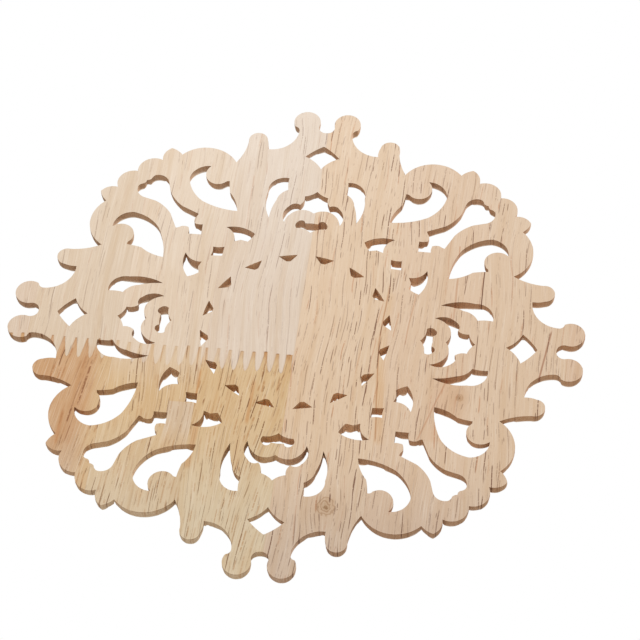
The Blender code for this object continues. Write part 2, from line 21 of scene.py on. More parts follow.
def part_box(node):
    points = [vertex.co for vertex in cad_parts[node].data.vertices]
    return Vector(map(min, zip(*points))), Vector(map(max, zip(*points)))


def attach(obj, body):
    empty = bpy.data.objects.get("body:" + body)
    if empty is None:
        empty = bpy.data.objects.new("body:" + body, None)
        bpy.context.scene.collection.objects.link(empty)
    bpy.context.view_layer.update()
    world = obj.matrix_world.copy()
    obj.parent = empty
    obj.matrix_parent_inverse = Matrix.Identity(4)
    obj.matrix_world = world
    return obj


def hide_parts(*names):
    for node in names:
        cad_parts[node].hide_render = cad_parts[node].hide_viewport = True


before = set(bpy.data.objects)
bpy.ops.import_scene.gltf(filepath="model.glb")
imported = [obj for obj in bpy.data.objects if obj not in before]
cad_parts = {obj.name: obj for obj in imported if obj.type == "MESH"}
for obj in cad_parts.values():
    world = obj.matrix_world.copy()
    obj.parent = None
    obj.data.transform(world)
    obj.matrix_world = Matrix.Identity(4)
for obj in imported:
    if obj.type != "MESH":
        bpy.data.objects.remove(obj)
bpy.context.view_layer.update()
MM = 0.001
low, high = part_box("applique")
ACROSS = (high[0] - low[0]) / MM      # tip to tip along either axis
CROWN = (high[1] - low[1]) / MM       # board thickness at the highest carving
print(f"applique: {ACROSS:.1f} mm across, {CROWN:.1f} mm thick")

# %% [markdown]
# ## The fretwork
#
# A carver lays this pattern out from one eighth of the circle and flips the paper seven times.
# The same wedge is drawn here: x runs sideways from an axis, y runs outwards, and the diagonal
# closes it. Each outline is a short list of corners with the way to the next one, either a bow in
# millimetres to the left or a turn about the middle of a round form. Curves drawn by rule stay
# clean at any fineness, which a traced list of points would not.

# %% Lay out the rim of the wedge
def swing(centre):
    """Marks a run that turns clockwise about the centre of a round form."""
    return ("round", centre[0], centre[1])


BULB = (11.2, 141.6, 7.4)             # sideways, outwards, radius
STUB = (36.2, 126.3, 5.3)
SCROLL = (62.0, 99.7, 18.4)
LOBE = (90.0, 99.5, 8.3)
VOLUTE = (54.0, 100.0, 6.0)

RIM = [
    (0.0, 134.8, -1.7), (4.2, 139.8, swing(BULB)), (BULB[0], ACROSS / 2, swing(BULB)),
    (17.2, 138.0, -0.9), (14.6, 134.6, -4.4), (30.2, 120.4, 0.4), (31.0, 126.8, swing(STUB)),
    (41.3, 125.2, -1.0), (46.2, 109.4, swing(SCROLL)), (76.2, 112.0, 0.6), (82.4, 116.0, 1.6),
    (86.2, 107.2, swing(LOBE)), (98.3, 98.3, 0.0)]
print("corners on the rim of one wedge:", len(RIM))

# %% [markdown]
# The openings are drawn the same way. Some are cut in two by the axis or by the diagonal: only the
# half inside the wedge is listed, and the mirrored copies give the rest. Cutting them out of a
# solid board with a Boolean modifier would work too, but it leaves long thin triangles, while an
# outline can be filled with an even mesh.

# %% Openings on the axis and on the diagonal
# On the axis: diamond, wide moustache, small moustache.
AXIS_OPENINGS = [
    [(0.0, 125.0, 0.5), (9.2, 117.0, -1.0), (0.0, 109.0, 0.0)],
    [(0.0, 93.2, -0.6), (6.3, 89.4, -0.8), (8.0, 83.4, 1.2), (13.4, 82.2, 2.0),
     (14.9, 71.0, -1.2), (9.0, 79.3, -1.3), (0.0, 78.0, 0.0)],
    [(0.0, 71.2, 0.0), (3.4, 70.9, 0.4), (5.1, 72.8, 0.4), (7.4, 71.8, 1.0), (7.7, 67.4, -0.9),
     (0.0, 64.8, 0.0)]]
# On the diagonal: trumpet, small square.
CORNER_OPENINGS = [
    [(92.3, 92.3, 0.3), (89.9, 93.4, -0.4), (88.0, 96.2, -1.8), (80.3, 92.0, 0.0),
     (78.4, 85.5, 0.8), (70.5, 76.2, 0.0), (61.2, 71.9, -0.2), (62.6, 69.2, 0.4),
     (62.3, 65.2, 0.3), (57.9, 64.8, 0.0), (57.9, 57.9, 0.0)],
    [(50.4, 50.4, 0.4), (44.4, 50.8, 0.0), (44.8, 44.8, 0.0)]]
print("openings cut in two:", len(AXIS_OPENINGS) + len(CORNER_OPENINGS))

# %% Openings inside the wedge
# Crescent, hooked opening, wing.
WHOLE_OPENINGS = [
    [(16.0, 101.0, 3.7), (26.2, 91.0, 1.6), (23.4, 73.2, -0.6), (21.0, 85.5, -1.2),
     (15.6, 93.0, -0.4)],
    [(41.0, 75.8, -1.2), (60.5, 81.0, -1.8), (69.7, 96.0, -2.9), (59.2, 105.6, swing(VOLUTE)),
     (50.2, 94.9, -0.4), (47.8, 96.0, 0.2), (46.4, 88.0, -1.0)],
    [(29.4, 61.2, 2.0), (45.2, 64.2, -1.8), (39.9, 55.0, 0.0), (36.4, 56.4, 0.0),
     (32.6, 55.6, 0.3)]]


def polar(radius, degrees):
    """The place at a radius and an angle from the axis."""
    angle = math.radians(degrees)
    return (radius * math.sin(angle), radius * math.cos(angle))


def ring_opening(middle):
    """A flat triangle with a blunt toe, cut between the petals and the ring."""
    outer, inner, span, toe, bow = 49.6, 45.5, 5.9, 1.4, 0.2
    return [polar(outer, middle - span) + (bow,), polar(outer, middle + span) + (0.0,),
            polar(inner, middle + toe) + (0.0,), polar(inner, middle - toe) + (0.0,)]


WHOLE_OPENINGS += [ring_opening(11.25), ring_opening(33.75)]
print("whole openings in one wedge:", len(WHOLE_OPENINGS))

# %% [markdown]
# ### Sawn lines
#
# A saw leaves one smooth line, so every run is broken into steps of less than a millimetre. The
# carving behind it is then free to follow the edge closely. A curve object with handles could draw
# the bows too, but arcs that are worked out here keep each bow exactly as it is listed.

# %% Turn corners into smooth lines
CUT_STEP = 0.85                       # longest straight step along a sawn edge


def turned(start, end, centre, turn):
    """Points after the start, up to the end, turning about a centre (turn 1 is anticlockwise)."""
    first_radius = math.dist(start, centre)
    last_radius = math.dist(end, centre)
    first = math.atan2(start[1] - centre[1], start[0] - centre[0])
    last = math.atan2(end[1] - centre[1], end[0] - centre[0])
    sweep = (last - first) * turn % (2 * math.pi)
    count = max(1, math.ceil(sweep * max(first_radius, last_radius) / CUT_STEP))
    points = []
    for k in range(1, count):
        radius = first_radius + (last_radius - first_radius) * k / count
        angle = first + turn * sweep * k / count
        points.append((centre[0] + radius * math.cos(angle), centre[1] + radius * math.sin(angle)))
    return points + [end]


def bowed(start, end, bow):
    """Points after the start, up to the end, on the arc that leaves the straight run by bow."""
    run = math.dist(start, end)
    if bow == 0:
        count = max(1, math.ceil(run / CUT_STEP))
        return [(start[0] + (end[0] - start[0]) * k / count,
                 start[1] + (end[1] - start[1]) * k / count) for k in range(1, count)] + [end]
    radius = (run * run / 4 + bow * bow) / (2 * abs(bow))
    side = math.copysign(1, bow)
    left = (-(end[1] - start[1]) / run * side, (end[0] - start[0]) / run * side)
    back = radius - abs(bow)
    centre = ((start[0] + end[0]) / 2 - left[0] * back, (start[1] + end[1]) / 2 - left[1] * back)
    return turned(start, end, centre, -side)


print(f"longest step along a sawn edge: {CUT_STEP} mm")

# %% Draw every sawn line
def outline(corners, closed):
    """The points of an outline, from its list of corners."""
    points = [corners[0][:2]]
    for i in range(len(corners) if closed else len(corners) - 1):
        start = corners[i][:2]
        end = corners[(i + 1) % len(corners)][:2]
        way = corners[i][2]
        if isinstance(way, tuple):
            points += turned(start, end, way[1:], -1)
        else:
            points += bowed(start, end, way)
    return points[:-1] if closed else points


rim = outline(RIM, False)
axis_cuts = [outline(corners, False) for corners in AXIS_OPENINGS]
corner_cuts = [outline(corners, False) for corners in CORNER_OPENINGS]
holes = [outline(corners, True) for corners in WHOLE_OPENINGS]
sawn = [rim] + axis_cuts + corner_cuts + [hole + hole[:1] for hole in holes]
sawn_length = sum(math.dist(a, b) for line in sawn for a, b in zip(line[:-1], line[1:]))
print(f"sawn edge in one wedge: {sawn_length:.0f} mm")

# %% [markdown]
# ## The carving
#
# Wood like this is carved with a few strokes that come back again and again. A gouge stroke is
# dished along its middle and keeps two raised edges. A rounded stroke is a plain roll, and a knob
# is a low dome, such as the ball that ends each scroll. Each stroke below is a line of places:
# sideways, outwards, half width and height above the flat back. Where strokes meet, the higher
# one wins, which is how the leaves come to overlap.

# %% Hollowed strokes of the leafwork
HOLLOWED = {                          # name: depth of the dish, places along the stroke
    "scroll": (3.4, [
        (36.5, 46, 2.6, 9.6), (43.2, 57.2, 3.2, 10.4), (50.2, 66.6, 4.8, 11.6),
        (58.4, 74.2, 5.0, 12.4), (66.6, 79.8, 5.4, 12.9), (73.4, 88, 5.6, 13.0),
        (75.2, 97, 5.8, 13.0), (72.6, 105.6, 6.0, 13.0), (65.4, 111.6, 6.4, 13.0),
        (57.2, 112, 6.2, 13.0), (50.6, 107.4, 5.6, 12.8), (48.6, 101, 4.4, 12.2)]),
    "stub_leaf": (3.0, [
        (24, 52.5, 3.4, 9.6), (26.6, 62, 4.6, 10.8), (30.2, 73, 5.6, 11.8), (33.2, 84, 6.4, 12.2),
        (34, 96, 6.8, 12.4), (34.2, 107, 6.8, 12.2), (35.4, 117, 6.6, 12.0),
        (36.2, 126, 6.0, 12.4), (36.2, 131, 5.6, 12.6)]),
    "bulb_leg": (2.2, [
        (14.6, 57.5, 3.0, 9.6), (19.2, 66, 4.0, 10.6), (20, 75, 3.8, 11.2), (18.2, 84, 3.8, 11.4),
        (13.2, 93, 4.6, 11.6), (11, 101, 5.0, 11.8), (13.2, 110, 5.2, 12.0),
        (15, 119, 5.4, 12.0), (13.6, 129, 5.4, 12.2), (11.6, 137, 5.4, 12.0)]),
}
print("hollowed strokes:", ", ".join(HOLLOWED))

# %% [markdown]
# The rolls between the leaves, the curls and the knobs are plainer. A roll needs only its line and
# its width, and a knob only a centre, a radius and a height, so both are short tables. Modelled by
# hand they would take longer, and they would not stay alike in all eight wedges.

# %% Rolls and knobs of the leafwork
ROUNDED = {
    "web_leaf": [(25, 101, 2.4, 9.6), (22.8, 108, 4.6, 10.8), (22.4, 115, 4.6, 10.8),
                 (25, 121.5, 3.0, 9.6)],
    "heart": [(0, 95.5, 3.4, 10.0), (0, 101, 6.4, 11.2), (0, 107.5, 3.0, 10.4)],
    "brow": [(0, 127.5, 6.0, 10.2), (0, 132.5, 7.0, 10.8)],
    "vein": [(41.6, 70, 2.6, 9.8), (43.4, 82, 3.4, 10.8), (44.2, 92, 3.8, 11.2),
             (43.6, 101.5, 4.0, 11.2), (45.6, 108.5, 2.8, 10.6)],
    "curl": [(12.0, 60, 3.2, 9.8), (12.2, 67, 3.6, 10.6), (10.8, 73.2, 3.4, 11.0),
             (6.6, 76.4, 3.0, 11.0), (2.8, 74.9, 2.8, 10.8), (0, 74.2, 2.4, 10.4)],
    "root_leaf": [(28.6, 54.8, 2.6, 9.4), (35, 52.4, 3.4, 10.2), (41, 48.6, 3.0, 9.8)],
    "calyx": [(49.4, 54.6, 2.8, 9.8), (53.6, 60.4, 4.0, 10.8), (58.2, 68.2, 3.4, 10.8)],
    "tip_leaf": [(78.2, 94.5, 2.8, 10.6), (81.2, 102, 4.8, 11.6), (82.4, 109, 4.6, 11.6),
                 (82.4, 115, 2.6, 10.8)],
}
KNOBS = {                             # name: sideways, outwards, radius, height
    "bulb": (BULB[0], BULB[1], 7.6, 12.6),
    "volute": (VOLUTE[0], VOLUTE[1], 6.6, 13.0),
    "lobe": (89.6, 100.6, 8.0, 12.0),
    "corner_bead": (95.4, 95.4, 3.6, 10.4),
    "neck_bead": (54.2, 54.2, 4.4, 10.6),
    "root_bead": (0.0, 62.0, 4.4, 9.8),
}
print("rolls:", len(ROUNDED), "knobs:", len(KNOBS))

# %% [markdown]
# A stroke has to be followed before it can be cut. A smooth curve joins its few places and passes
# through all of them. Every point of the board then learns how far it lies from that curve,
# counted in half widths, and how high the stroke is there. A profile swept along a curve object
# would be quick too, but the strokes cross, and each crossing would have to be joined by hand.

# %% Follow a stroke
STROKE_STEP = 1.2                     # spacing of the places that a stroke is followed by


def smooth_path(places, step):
    """Places along a smooth curve through the given ones, about a step apart."""
    given = np.array(places, dtype=float)
    ends = np.vstack([2 * given[0] - given[1], given, 2 * given[-1] - given[-2]])
    path = []
    for i in range(1, len(ends) - 2):
        before, here, after, beyond = ends[i - 1:i + 3]
        count = max(1, round(math.dist(here[:2], after[:2]) / step))
        for k in range(count):
            t = k / count
            path.append(0.5 * (2 * here + (after - before) * t
                               + (2 * before - 5 * here + 4 * after - beyond) * t ** 2
                               + (3 * here - before - 3 * after + beyond) * t ** 3))
    path.append(given[-1])
    return np.array(path)


def across_path(x, y, path):
    """How far each point lies from a path, in half widths, and the path's height there."""
    nearest = np.full(x.shape, np.inf)
    top = np.zeros(x.shape)
    for a, b in zip(path[:-1], path[1:]):
        along = b[:2] - a[:2]
        part = ((x - a[0]) * along[0] + (y - a[1]) * along[1]) / (along @ along)
        part = np.clip(part, 0, 1)
        here = a[:, None] + (b - a)[:, None] * part
        share = np.hypot(x - here[0], y - here[1]) / here[2]
        closer = share < nearest
        nearest = np.where(closer, share, nearest)
        top = np.where(closer, here[3], top)
    return nearest, top


stroke_lengths = {name: len(smooth_path(places, STROKE_STEP)) * STROKE_STEP
                  for name, (_depth, places) in HOLLOWED.items()}
print("about mm long:", {name: round(length) for name, length in stroke_lengths.items()})

# %% [markdown]
# What a tool leaves behind is its section: a quarter circle where the wood rounds over, a dome for
# a roll or a knob, a dish between two raised edges for a gouge. Heights above the back are enough
# to say this, because nothing on the carved face hangs over. Sculpting by hand could undercut it,
# but a sculpted face can't be changed by changing one number.

# %% Sections of the strokes
GROUND = 6.8                          # lowered ground between the leaves
GOUGE_RIM = 0.66                      # a gouge stroke's raised edge, as a part of its half width


def quarter_round(share):
    """Falls from 1 to 0 along a quarter circle as the share goes from 0 to 1."""
    return np.sqrt(np.clip(1 - np.clip(share, 0, 1) ** 2, 0, 1))


def dome(share, base, top):
    """A dome that is gone where the share of its radius reaches 1."""
    return np.where(share < 1, base + (top - base) * quarter_round(share), 0.0)


def gouge(share, depth, top):
    """Dished in the middle, raised near its edges, falling to the ground."""
    dished = top - depth * (1 - np.clip(share / GOUGE_RIM, 0, 1) ** 2)
    falling = GROUND + (top - GROUND) * quarter_round((share - GOUGE_RIM) / (1 - GOUGE_RIM))
    return np.where(share < GOUGE_RIM, dished, np.where(share < 1, falling, 0.0))


print("gouge, from its middle to its foot:",
      gouge(np.array([0.0, GOUGE_RIM, 0.99]), 3.4, CROWN).round(1), "mm")

# %% Put the leafwork together
def leafwork(x, y):
    """Height of the scrolls, leaves and knobs outside the ring."""
    height = np.full(x.shape, GROUND)
    for side, out in ((x, y), (-x, y), (y, x)):
        for depth, places in HOLLOWED.values():
            share, top = across_path(side, out, smooth_path(places, STROKE_STEP))
            height = np.maximum(height, gouge(share, depth, top))
        for places in ROUNDED.values():
            share, top = across_path(side, out, smooth_path(places, STROKE_STEP))
            height = np.maximum(height, dome(share, GROUND, top))
        for at_x, at_y, radius, top in KNOBS.values():
            share = np.hypot(side - at_x, out - at_y) / radius
            height = np.maximum(height, dome(share, GROUND, top))
    return height


print("leafwork on the bulb:", leafwork(*np.array([[BULB[0]], [BULB[1]]])).round(1), "mm")

# %% [markdown]
# ### The flower and its ring
#
# The flower has a domed button inside a raised rim, spokes of two beads, eight pointed petals
# dished round a domed belly, and rounded lobes that show between the petals. The ring round it is
# a row of shallow scoops that lean like laid coins. All of it is worked out from the distance and
# the angle from the middle, so one rule makes every petal and every scoop.

# %% Button and spokes
BUTTON, BUTTON_FOOT, BUTTON_TOP = 8.6, 10.6, CROWN              # radius, foot and top heights
BUTTON_RIM, BUTTON_RIM_FOOT, BUTTON_RIM_TOP = 10.6, 9.6, 11.5
SPOKES, BEAD_FOOT = 16, 8.2
BEADS = [(12.6, 2.3, 1.75, 10.7), (16.9, 2.8, 2.5, 10.9)]   # outwards, half length, half width, top


def button(radius):
    """Height of the middle button inside its raised rim."""
    middle = (BUTTON + BUTTON_RIM) / 2
    rim_top = dome(np.abs(radius - middle) / (BUTTON_RIM - middle), BUTTON_RIM_FOOT,
                   BUTTON_RIM_TOP)
    return np.where(radius < BUTTON, dome(radius / BUTTON, BUTTON_FOOT, BUTTON_TOP), rim_top)


def spokes(radius, angle):
    """Height of the spokes round the button, each of two beads."""
    pitch = 360 / SPOKES
    aside = radius * np.radians((angle + pitch / 2) % pitch - pitch / 2)
    height = np.zeros(radius.shape)
    for out, half_length, half_width, top in BEADS:
        share = np.hypot((radius - out) / half_length, aside / half_width)
        height = np.maximum(height, dome(share, BEAD_FOOT, top))
    return height


print("button", 2 * BUTTON, "mm across,", SPOKES, "spokes")

# %% [markdown]
# A petal is widest past its middle and ends in a point. Its half width is given at a few parts of
# its length and smoothed in between, as a bent lath would do it. The blade is dished up to a thin
# raised border and lifts a little at the tip, where it meets the ring.

# %% Petals and the lobes behind them
PETAL_ROOT, PETAL_TIP, PETAL_AT = 17.0, 47.5, 22.5     # radius at the root and tip, angle
PETAL_TOP, PETAL_LIFT, PETAL_LIFT_FROM = 11.0, 1.2, 0.6
PETAL_DISH, PETAL_DISH_CURVE, PETAL_RIM = 1.9, 2.2, 0.82
PETAL_SHAPE = [(0.0, 4.4), (0.22, 8.6), (0.45, 11.0), (0.62, 11.0), (0.78, 8.0), (0.9, 3.8),
               (1.0, 0.5)]            # part of the length, half width
BELLY, BELLY_FOOT, BELLY_TOP = (29.5, 8.6, 5.4), 8.8, 11.5
BACK_LOBE, BACK_LOBE_FOOT, BACK_LOBE_TOP = (39.0, 9.0, 6.0), 7.2, 10.2


def petals(radius, angle):
    """Height of the eight pointed petals, dished round a domed belly."""
    turn = np.radians(angle - PETAL_AT)
    along = radius * np.cos(turn)
    aside = np.abs(radius * np.sin(turn))
    length = PETAL_TIP - PETAL_ROOT
    part = (along - PETAL_ROOT) / length
    shape = smooth_path([(t * length, half, 0, 0) for t, half in PETAL_SHAPE], 1.0)
    share = aside / np.interp(part, shape[:, 0] / length, shape[:, 1])
    lift = np.clip((part - PETAL_LIFT_FROM) / (1 - PETAL_LIFT_FROM), 0, 1)
    edge = PETAL_TOP + PETAL_LIFT * lift
    dished = edge - PETAL_DISH * (1 - np.clip(share / PETAL_RIM, 0, 1) ** PETAL_DISH_CURVE)
    falling = GROUND + (edge - GROUND) * quarter_round((share - PETAL_RIM) / (1 - PETAL_RIM))
    blade = np.where(share < PETAL_RIM, dished, falling)
    blade = np.where((share < 1) & (part > 0) & (part < 1), blade, 0.0)
    out, half_length, half_width = BELLY
    belly = dome(np.hypot((along - out) / half_length, aside / half_width), BELLY_FOOT, BELLY_TOP)
    return np.maximum(blade, belly)


def back_lobes(radius, angle):
    """Height of the rounded lobes that show between the petals."""
    out, half_length, half_width = BACK_LOBE
    height = np.zeros(radius.shape)
    for middle in (0.0, 45.0):
        turn = np.radians(angle - middle)
        share = np.hypot((radius * np.cos(turn) - out) / half_length,
                         radius * np.sin(turn) / half_width)
        height = np.maximum(height, dome(share, BACK_LOBE_FOOT, BACK_LOBE_TOP))
    return height


print("petal length:", PETAL_TIP - PETAL_ROOT, "mm")

# %% Scooped ring
RING_IN, RING_OUT, RING_FACETS, RING_TOP = 49.8, 60.0, 24, 12.2
SCOOP, SCOOP_CURVE, FACET_LEAN = 3.4, 0.55, 0.8        # depth, fall across the ring, lean


def scalloped_ring(radius, angle):
    """Height of the ring of scooped facets."""
    pitch = 360 / RING_FACETS
    part = 2 * ((angle % pitch) / pitch - 0.5)
    middle = (RING_IN + RING_OUT) / 2
    across = (radius - middle) / (RING_OUT - middle)
    scoop = 1 - np.clip(part ** 2 + SCOOP_CURVE * across ** 2, 0, 1)
    height = RING_TOP - SCOOP * scoop + FACET_LEAN * part / 2 * (1 - np.abs(across))
    return np.where(np.abs(across) < 1, height, 0.0)


print("facets:", RING_FACETS, "each", round(2 * math.pi * RING_OUT / RING_FACETS, 1), "mm long")

# %% [markdown]
# The whole face is one rule: the flower inside the ring, the leafwork outside it. The board's own
# thickness thins the leafwork towards the rim, and a cap over all of it rounds the carving down to
# the sawn edges, as a carver eases every corner.

# %% Height of the whole face
ROSETTE_FLOOR = 7.0
THICK_TO, THIN_FROM, THINNED = 60.0, 100.0, 0.62       # radii, part of the height left beyond
EDGE_NEAR, EDGE_FAR = 4.0, 2.3        # upright sawn wall left at an edge: near the ring, at the rim
EDGE_ROUND = 3.6                      # how far in from an edge the carving reaches its height


def carved_height(x, y, from_edge):
    """Height of the carved face, thinner towards the rim and rounded off at the sawn edges."""
    radius = np.hypot(x, y)
    angle = np.degrees(np.arctan2(x, y))
    floor = np.full(radius.shape, ROSETTE_FLOOR)
    rosette = np.maximum.reduce([floor, button(radius), spokes(radius, angle),
                                 petals(radius, angle), back_lobes(radius, angle),
                                 scalloped_ring(radius, angle)])
    outwards = np.clip((radius - THICK_TO) / (THIN_FROM - THICK_TO), 0, 1)
    left = 1 - (1 - THINNED) * outwards
    height = np.where(radius < RING_OUT, rosette, leafwork(x, y) * left)
    edge = EDGE_NEAR + (EDGE_FAR - EDGE_NEAR) * outwards
    cap = edge + (CROWN * left - edge) * quarter_round(1 - from_edge / EDGE_ROUND)
    return np.minimum(height, cap)


print("height in the middle:", carved_height(*np.array([[0.0], [0.0], [EDGE_ROUND]])), "mm")

# %% [markdown]
# ## From drawing to wood
#
# Two questions come back all the time: how far a place lies from the nearest sawn edge, and
# whether it lies on wood at all. The first is a plain distance to each short run of the outlines.
# The second counts how often a level line to the right of the place crosses them: an odd number
# means wood.

# %% Measure from the sawn edges
walls = np.array([a + b for line in sawn for a, b in zip(line[:-1], line[1:])])


def from_walls(x, y):
    """Distance from each point to the nearest sawn edge."""
    nearest = np.full(x.shape, np.inf)
    for ax, ay, bx, by in walls:
        length = (bx - ax) ** 2 + (by - ay) ** 2
        part = np.clip(((x - ax) * (bx - ax) + (y - ay) * (by - ay)) / length, 0, 1)
        nearest = np.minimum(nearest, np.hypot(x - ax - (bx - ax) * part, y - ay - (by - ay) * part))
    return nearest


border = [(0.0, 0.0)]
for cut in sorted(axis_cuts, key=lambda run: run[-1][1]):
    border += reversed(cut)
border += rim
for cut in sorted(corner_cuts, key=lambda run: -run[0][0]):
    border += cut


def on_wood(x, y):
    """Which points lie on the wood: inside the wedge's border and outside its openings."""
    crossings = np.zeros(x.shape, dtype=int)
    for loop in [border] + holes:
        for a, b in zip(loop, loop[1:] + loop[:1]):
            if a[1] == b[1]:
                continue
            spans = (a[1] > y) != (b[1] > y)
            crossings += spans & (x < a[0] + (y - a[1]) * (b[0] - a[0]) / (b[1] - a[1]))
    return crossings % 2 == 1


print("runs of sawn edge:", len(walls), "points on the wedge's border:", len(border))

# %% [markdown]
# ### Points of the mesh
#
# The carved face needs points everywhere, closest of all along the edges, where it rounds over.
# Two lines of points follow each sawn edge a little way in, two more stand close on both sides of
# each round step of the ring, and an even lattice fills the rest. A grid with a displacement would
# be quicker to write, but it would leave the thin bridges and the sawn walls ragged.

# %% Points along the edges
EDGE_LINES = (0.32, 0.95)             # how far inside a sawn edge the two lines run
OWN_EDGE = 0.93                       # part of its inset that a point keeps from every other edge


def edge_lines():
    """Points that follow the sawn edges inside the wood."""
    middles = (walls[:, :2] + walls[:, 2:]) / 2
    along = walls[:, 2:] - walls[:, :2]
    aside = np.stack([-along[:, 1], along[:, 0]], axis=1) / np.hypot(*along.T)[:, None]
    points = []
    for inset in EDGE_LINES:
        for side in (1, -1):
            there = middles + aside * inset * side
            good = on_wood(*there.T) & (from_walls(*there.T) > inset * OWN_EDGE)
            points.append(there[good])
    return np.vstack(points)


beside_edges = edge_lines()
print("points beside the sawn edges:", len(beside_edges))

# %% Points along the ring and in between
GRAIN_STEP = 0.88                     # spacing of the lattice
ROW_START, ROW_SHIFT = 0.75, 0.5      # first point of a row and shift of every second row, in steps
OFF_SEAM, OFF_STEP, OFF_LINE = 0.8, 0.5, 0.55   # room round the lattice, also in steps
STEP_SIDE = 0.06                      # how far the lines stand off a round step of the ring
STEPS = [radius + side for radius in (RING_IN, RING_OUT) for side in (-STEP_SIDE, STEP_SIDE)]


def clear_of_steps(points, gap):
    """The points that keep a gap from the round steps of the ring."""
    radius = np.hypot(*points.T)
    return points[np.min([np.abs(radius - step) for step in STEPS], axis=0) > gap]


def round_lines():
    """Points along the round steps of the ring."""
    points = []
    for radius in STEPS:
        count = round(radius * math.pi / 4 / GRAIN_STEP)
        turns = (np.arange(count) + 0.5) / count * math.pi / 4
        points.append(np.stack([radius * np.sin(turns), radius * np.cos(turns)], axis=1))
    points = np.vstack(points)
    points = points[on_wood(*points.T)]
    return points[from_walls(*points.T) > EDGE_LINES[0] * 0.8]


def lattice():
    """An even lattice of points over the wood, clear of the edge lines and of the two seams."""
    rows = np.arange(0, ACROSS / 2, GRAIN_STEP * math.sqrt(0.75))
    points = []
    for k, y in enumerate(rows):
        x = np.arange(GRAIN_STEP * (ROW_START + ROW_SHIFT * (k % 2)), y, GRAIN_STEP)
        points.append(np.stack([x, np.full(x.shape, y)], axis=1))
    points = np.vstack(points)
    points = points[points[:, 1] - points[:, 0] > GRAIN_STEP * OFF_SEAM]
    points = points[on_wood(*points.T)]
    points = clear_of_steps(points, GRAIN_STEP * OFF_STEP)
    return points[from_walls(*points.T) > EDGE_LINES[-1] + GRAIN_STEP * OFF_LINE]


# Single points keep a little room from the ring's steps, from the axis and from the diagonal.
STEP_ROOM, AXIS_ROOM, DIAGONAL_ROOM = 0.15, 0.2, 0.3
inner = np.vstack([clear_of_steps(beside_edges, STEP_ROOM), round_lines(), lattice()])
inner = inner[(inner[:, 0] > AXIS_ROOM) & (inner[:, 1] - inner[:, 0] > DIAGONAL_ROOM)]
print("points inside one wedge:", len(inner))

# %% [markdown]
# The wedges meet along the axis and the diagonal. Both sides of such a seam need the same points,
# or the copies can't be welded, so the points on a seam are worked out from its two ends alone.

# %% Break the seams
ON_LINE = 1e-6                        # how close to the diagonal counts as on it
SEAM_ROOM = 0.45                      # steps that a seam's points keep from the ring's steps


def seam_points(a, b):
    """Points between the two ends of a run of wood on the axis or on the diagonal."""
    length = math.dist(a, b)
    near_edge = [inset / length for inset in EDGE_LINES]
    count = max(1, round((length - 2 * EDGE_LINES[-1]) / GRAIN_STEP))
    first, last = near_edge[-1], 1 - near_edge[-1]
    even = [first + (last - first) * k / count for k in range(count + 1)]
    shares = np.array(sorted(set([near_edge[0]] + even + [1 - near_edge[0]])))
    run = np.outer(1 - shares, a) + np.outer(shares, b)
    run = clear_of_steps(run, GRAIN_STEP * SEAM_ROOM).tolist()
    reach = sorted([math.hypot(*a), math.hypot(*b)])
    ahead = ((b[0] - a[0]) / length, (b[1] - a[1]) / length)
    for step in STEPS:
        if reach[0] < step < reach[1]:
            run.append([abs(ahead[0]) * step, abs(ahead[1]) * step])
    return [tuple(p) for p in sorted(run, key=lambda p: math.dist(a, p))]


def on_seam(a, b):
    """Whether a run of the border lies on the axis or on the diagonal."""
    return (a[0] == 0 and b[0] == 0) or (abs(a[0] - a[1]) < ON_LINE and abs(b[0] - b[1]) < ON_LINE)


fine_border = []
for a, b in zip(border, border[1:] + border[:1]):
    fine_border.append(a)
    if on_seam(a, b):
        fine_border += seam_points(a, b)
print("points on the border:", len(border), "before,", len(fine_border), "with the seams")

# %% [markdown]
# A constrained triangulation joins all points and never crosses an edge. It knows nothing of the
# openings, so the triangles that fall into them are left out afterwards. The flat back gets no
# points inside, because flat wood needs none.

# %% Fill the wedge with triangles
def filled(loop_points, extra):
    """Triangles over the wood, through the border, the openings and any extra points."""
    points = list(loop_points[0])
    edges = [(k, (k + 1) % len(points)) for k in range(len(points))]
    for hole in loop_points[1:]:
        first = len(points)
        points += hole
        edges += [(first + k, first + (k + 1) % len(hole)) for k in range(len(hole))]
    points += [tuple(p) for p in extra]
    flat, _edges, faces, *_ = delaunay_2d_cdt([Vector(p) for p in points], edges, [], 0, 1e-5)
    flat = np.array([tuple(p) for p in flat])
    faces = np.array([tuple(face) for face in faces])
    middle = flat[faces].mean(axis=1)
    return flat, faces[on_wood(*middle.T)]


front_flat, front_faces = filled([fine_border] + holes, inner)
back_flat, back_faces = filled([border] + holes, [])
print("faces in one wedge:", len(front_faces), "carved,", len(back_faces), "flat")

# %% [markdown]
# The flat triangles are raised to their carved height. Each point also keeps a crease value: how far
# it lies below the average of its neighbours, spread out several times. The finish reads it later to
# paint shade into the hollows, darker the deeper they lie. Blender can work out such
# hollows while it renders, but a value kept in the mesh goes along into other programs.

# %% Raise the carving and mark its creases for painted shade
height = carved_height(*front_flat.T, from_walls(*front_flat.T))


def spread(values, faces, rounds):
    """Values evened out over the neighbours of each point, several times."""
    for _round in range(rounds):
        total = values.copy()
        count = np.ones(len(values))
        for a, b in ((0, 1), (1, 2), (2, 0)):
            np.add.at(total, faces[:, a], values[faces[:, b]])
            np.add.at(count, faces[:, a], 1)
        values = total / count
    return values


CREASE_ROUNDS, CREASE_DEEP = 9, 1.3   # how far a point looks round, and what counts as deep
# The crease value later sets how much shade is painted into each hollow.
crease_shade = np.clip((spread(height, front_faces, CREASE_ROUNDS) - height) / CREASE_DEEP, 0, 1)
print(f"points in creases: {np.mean(crease_shade > 0.5):.0%}")

# %% [markdown]
# A sawn wall closes every edge of the wedge that isn't a seam: an edge that belongs to only one
# triangle of the carved face gets a face down to the same edge of the back. A Solidify modifier
# makes walls as well, but it would give the back a copy of the carving instead of a flat.

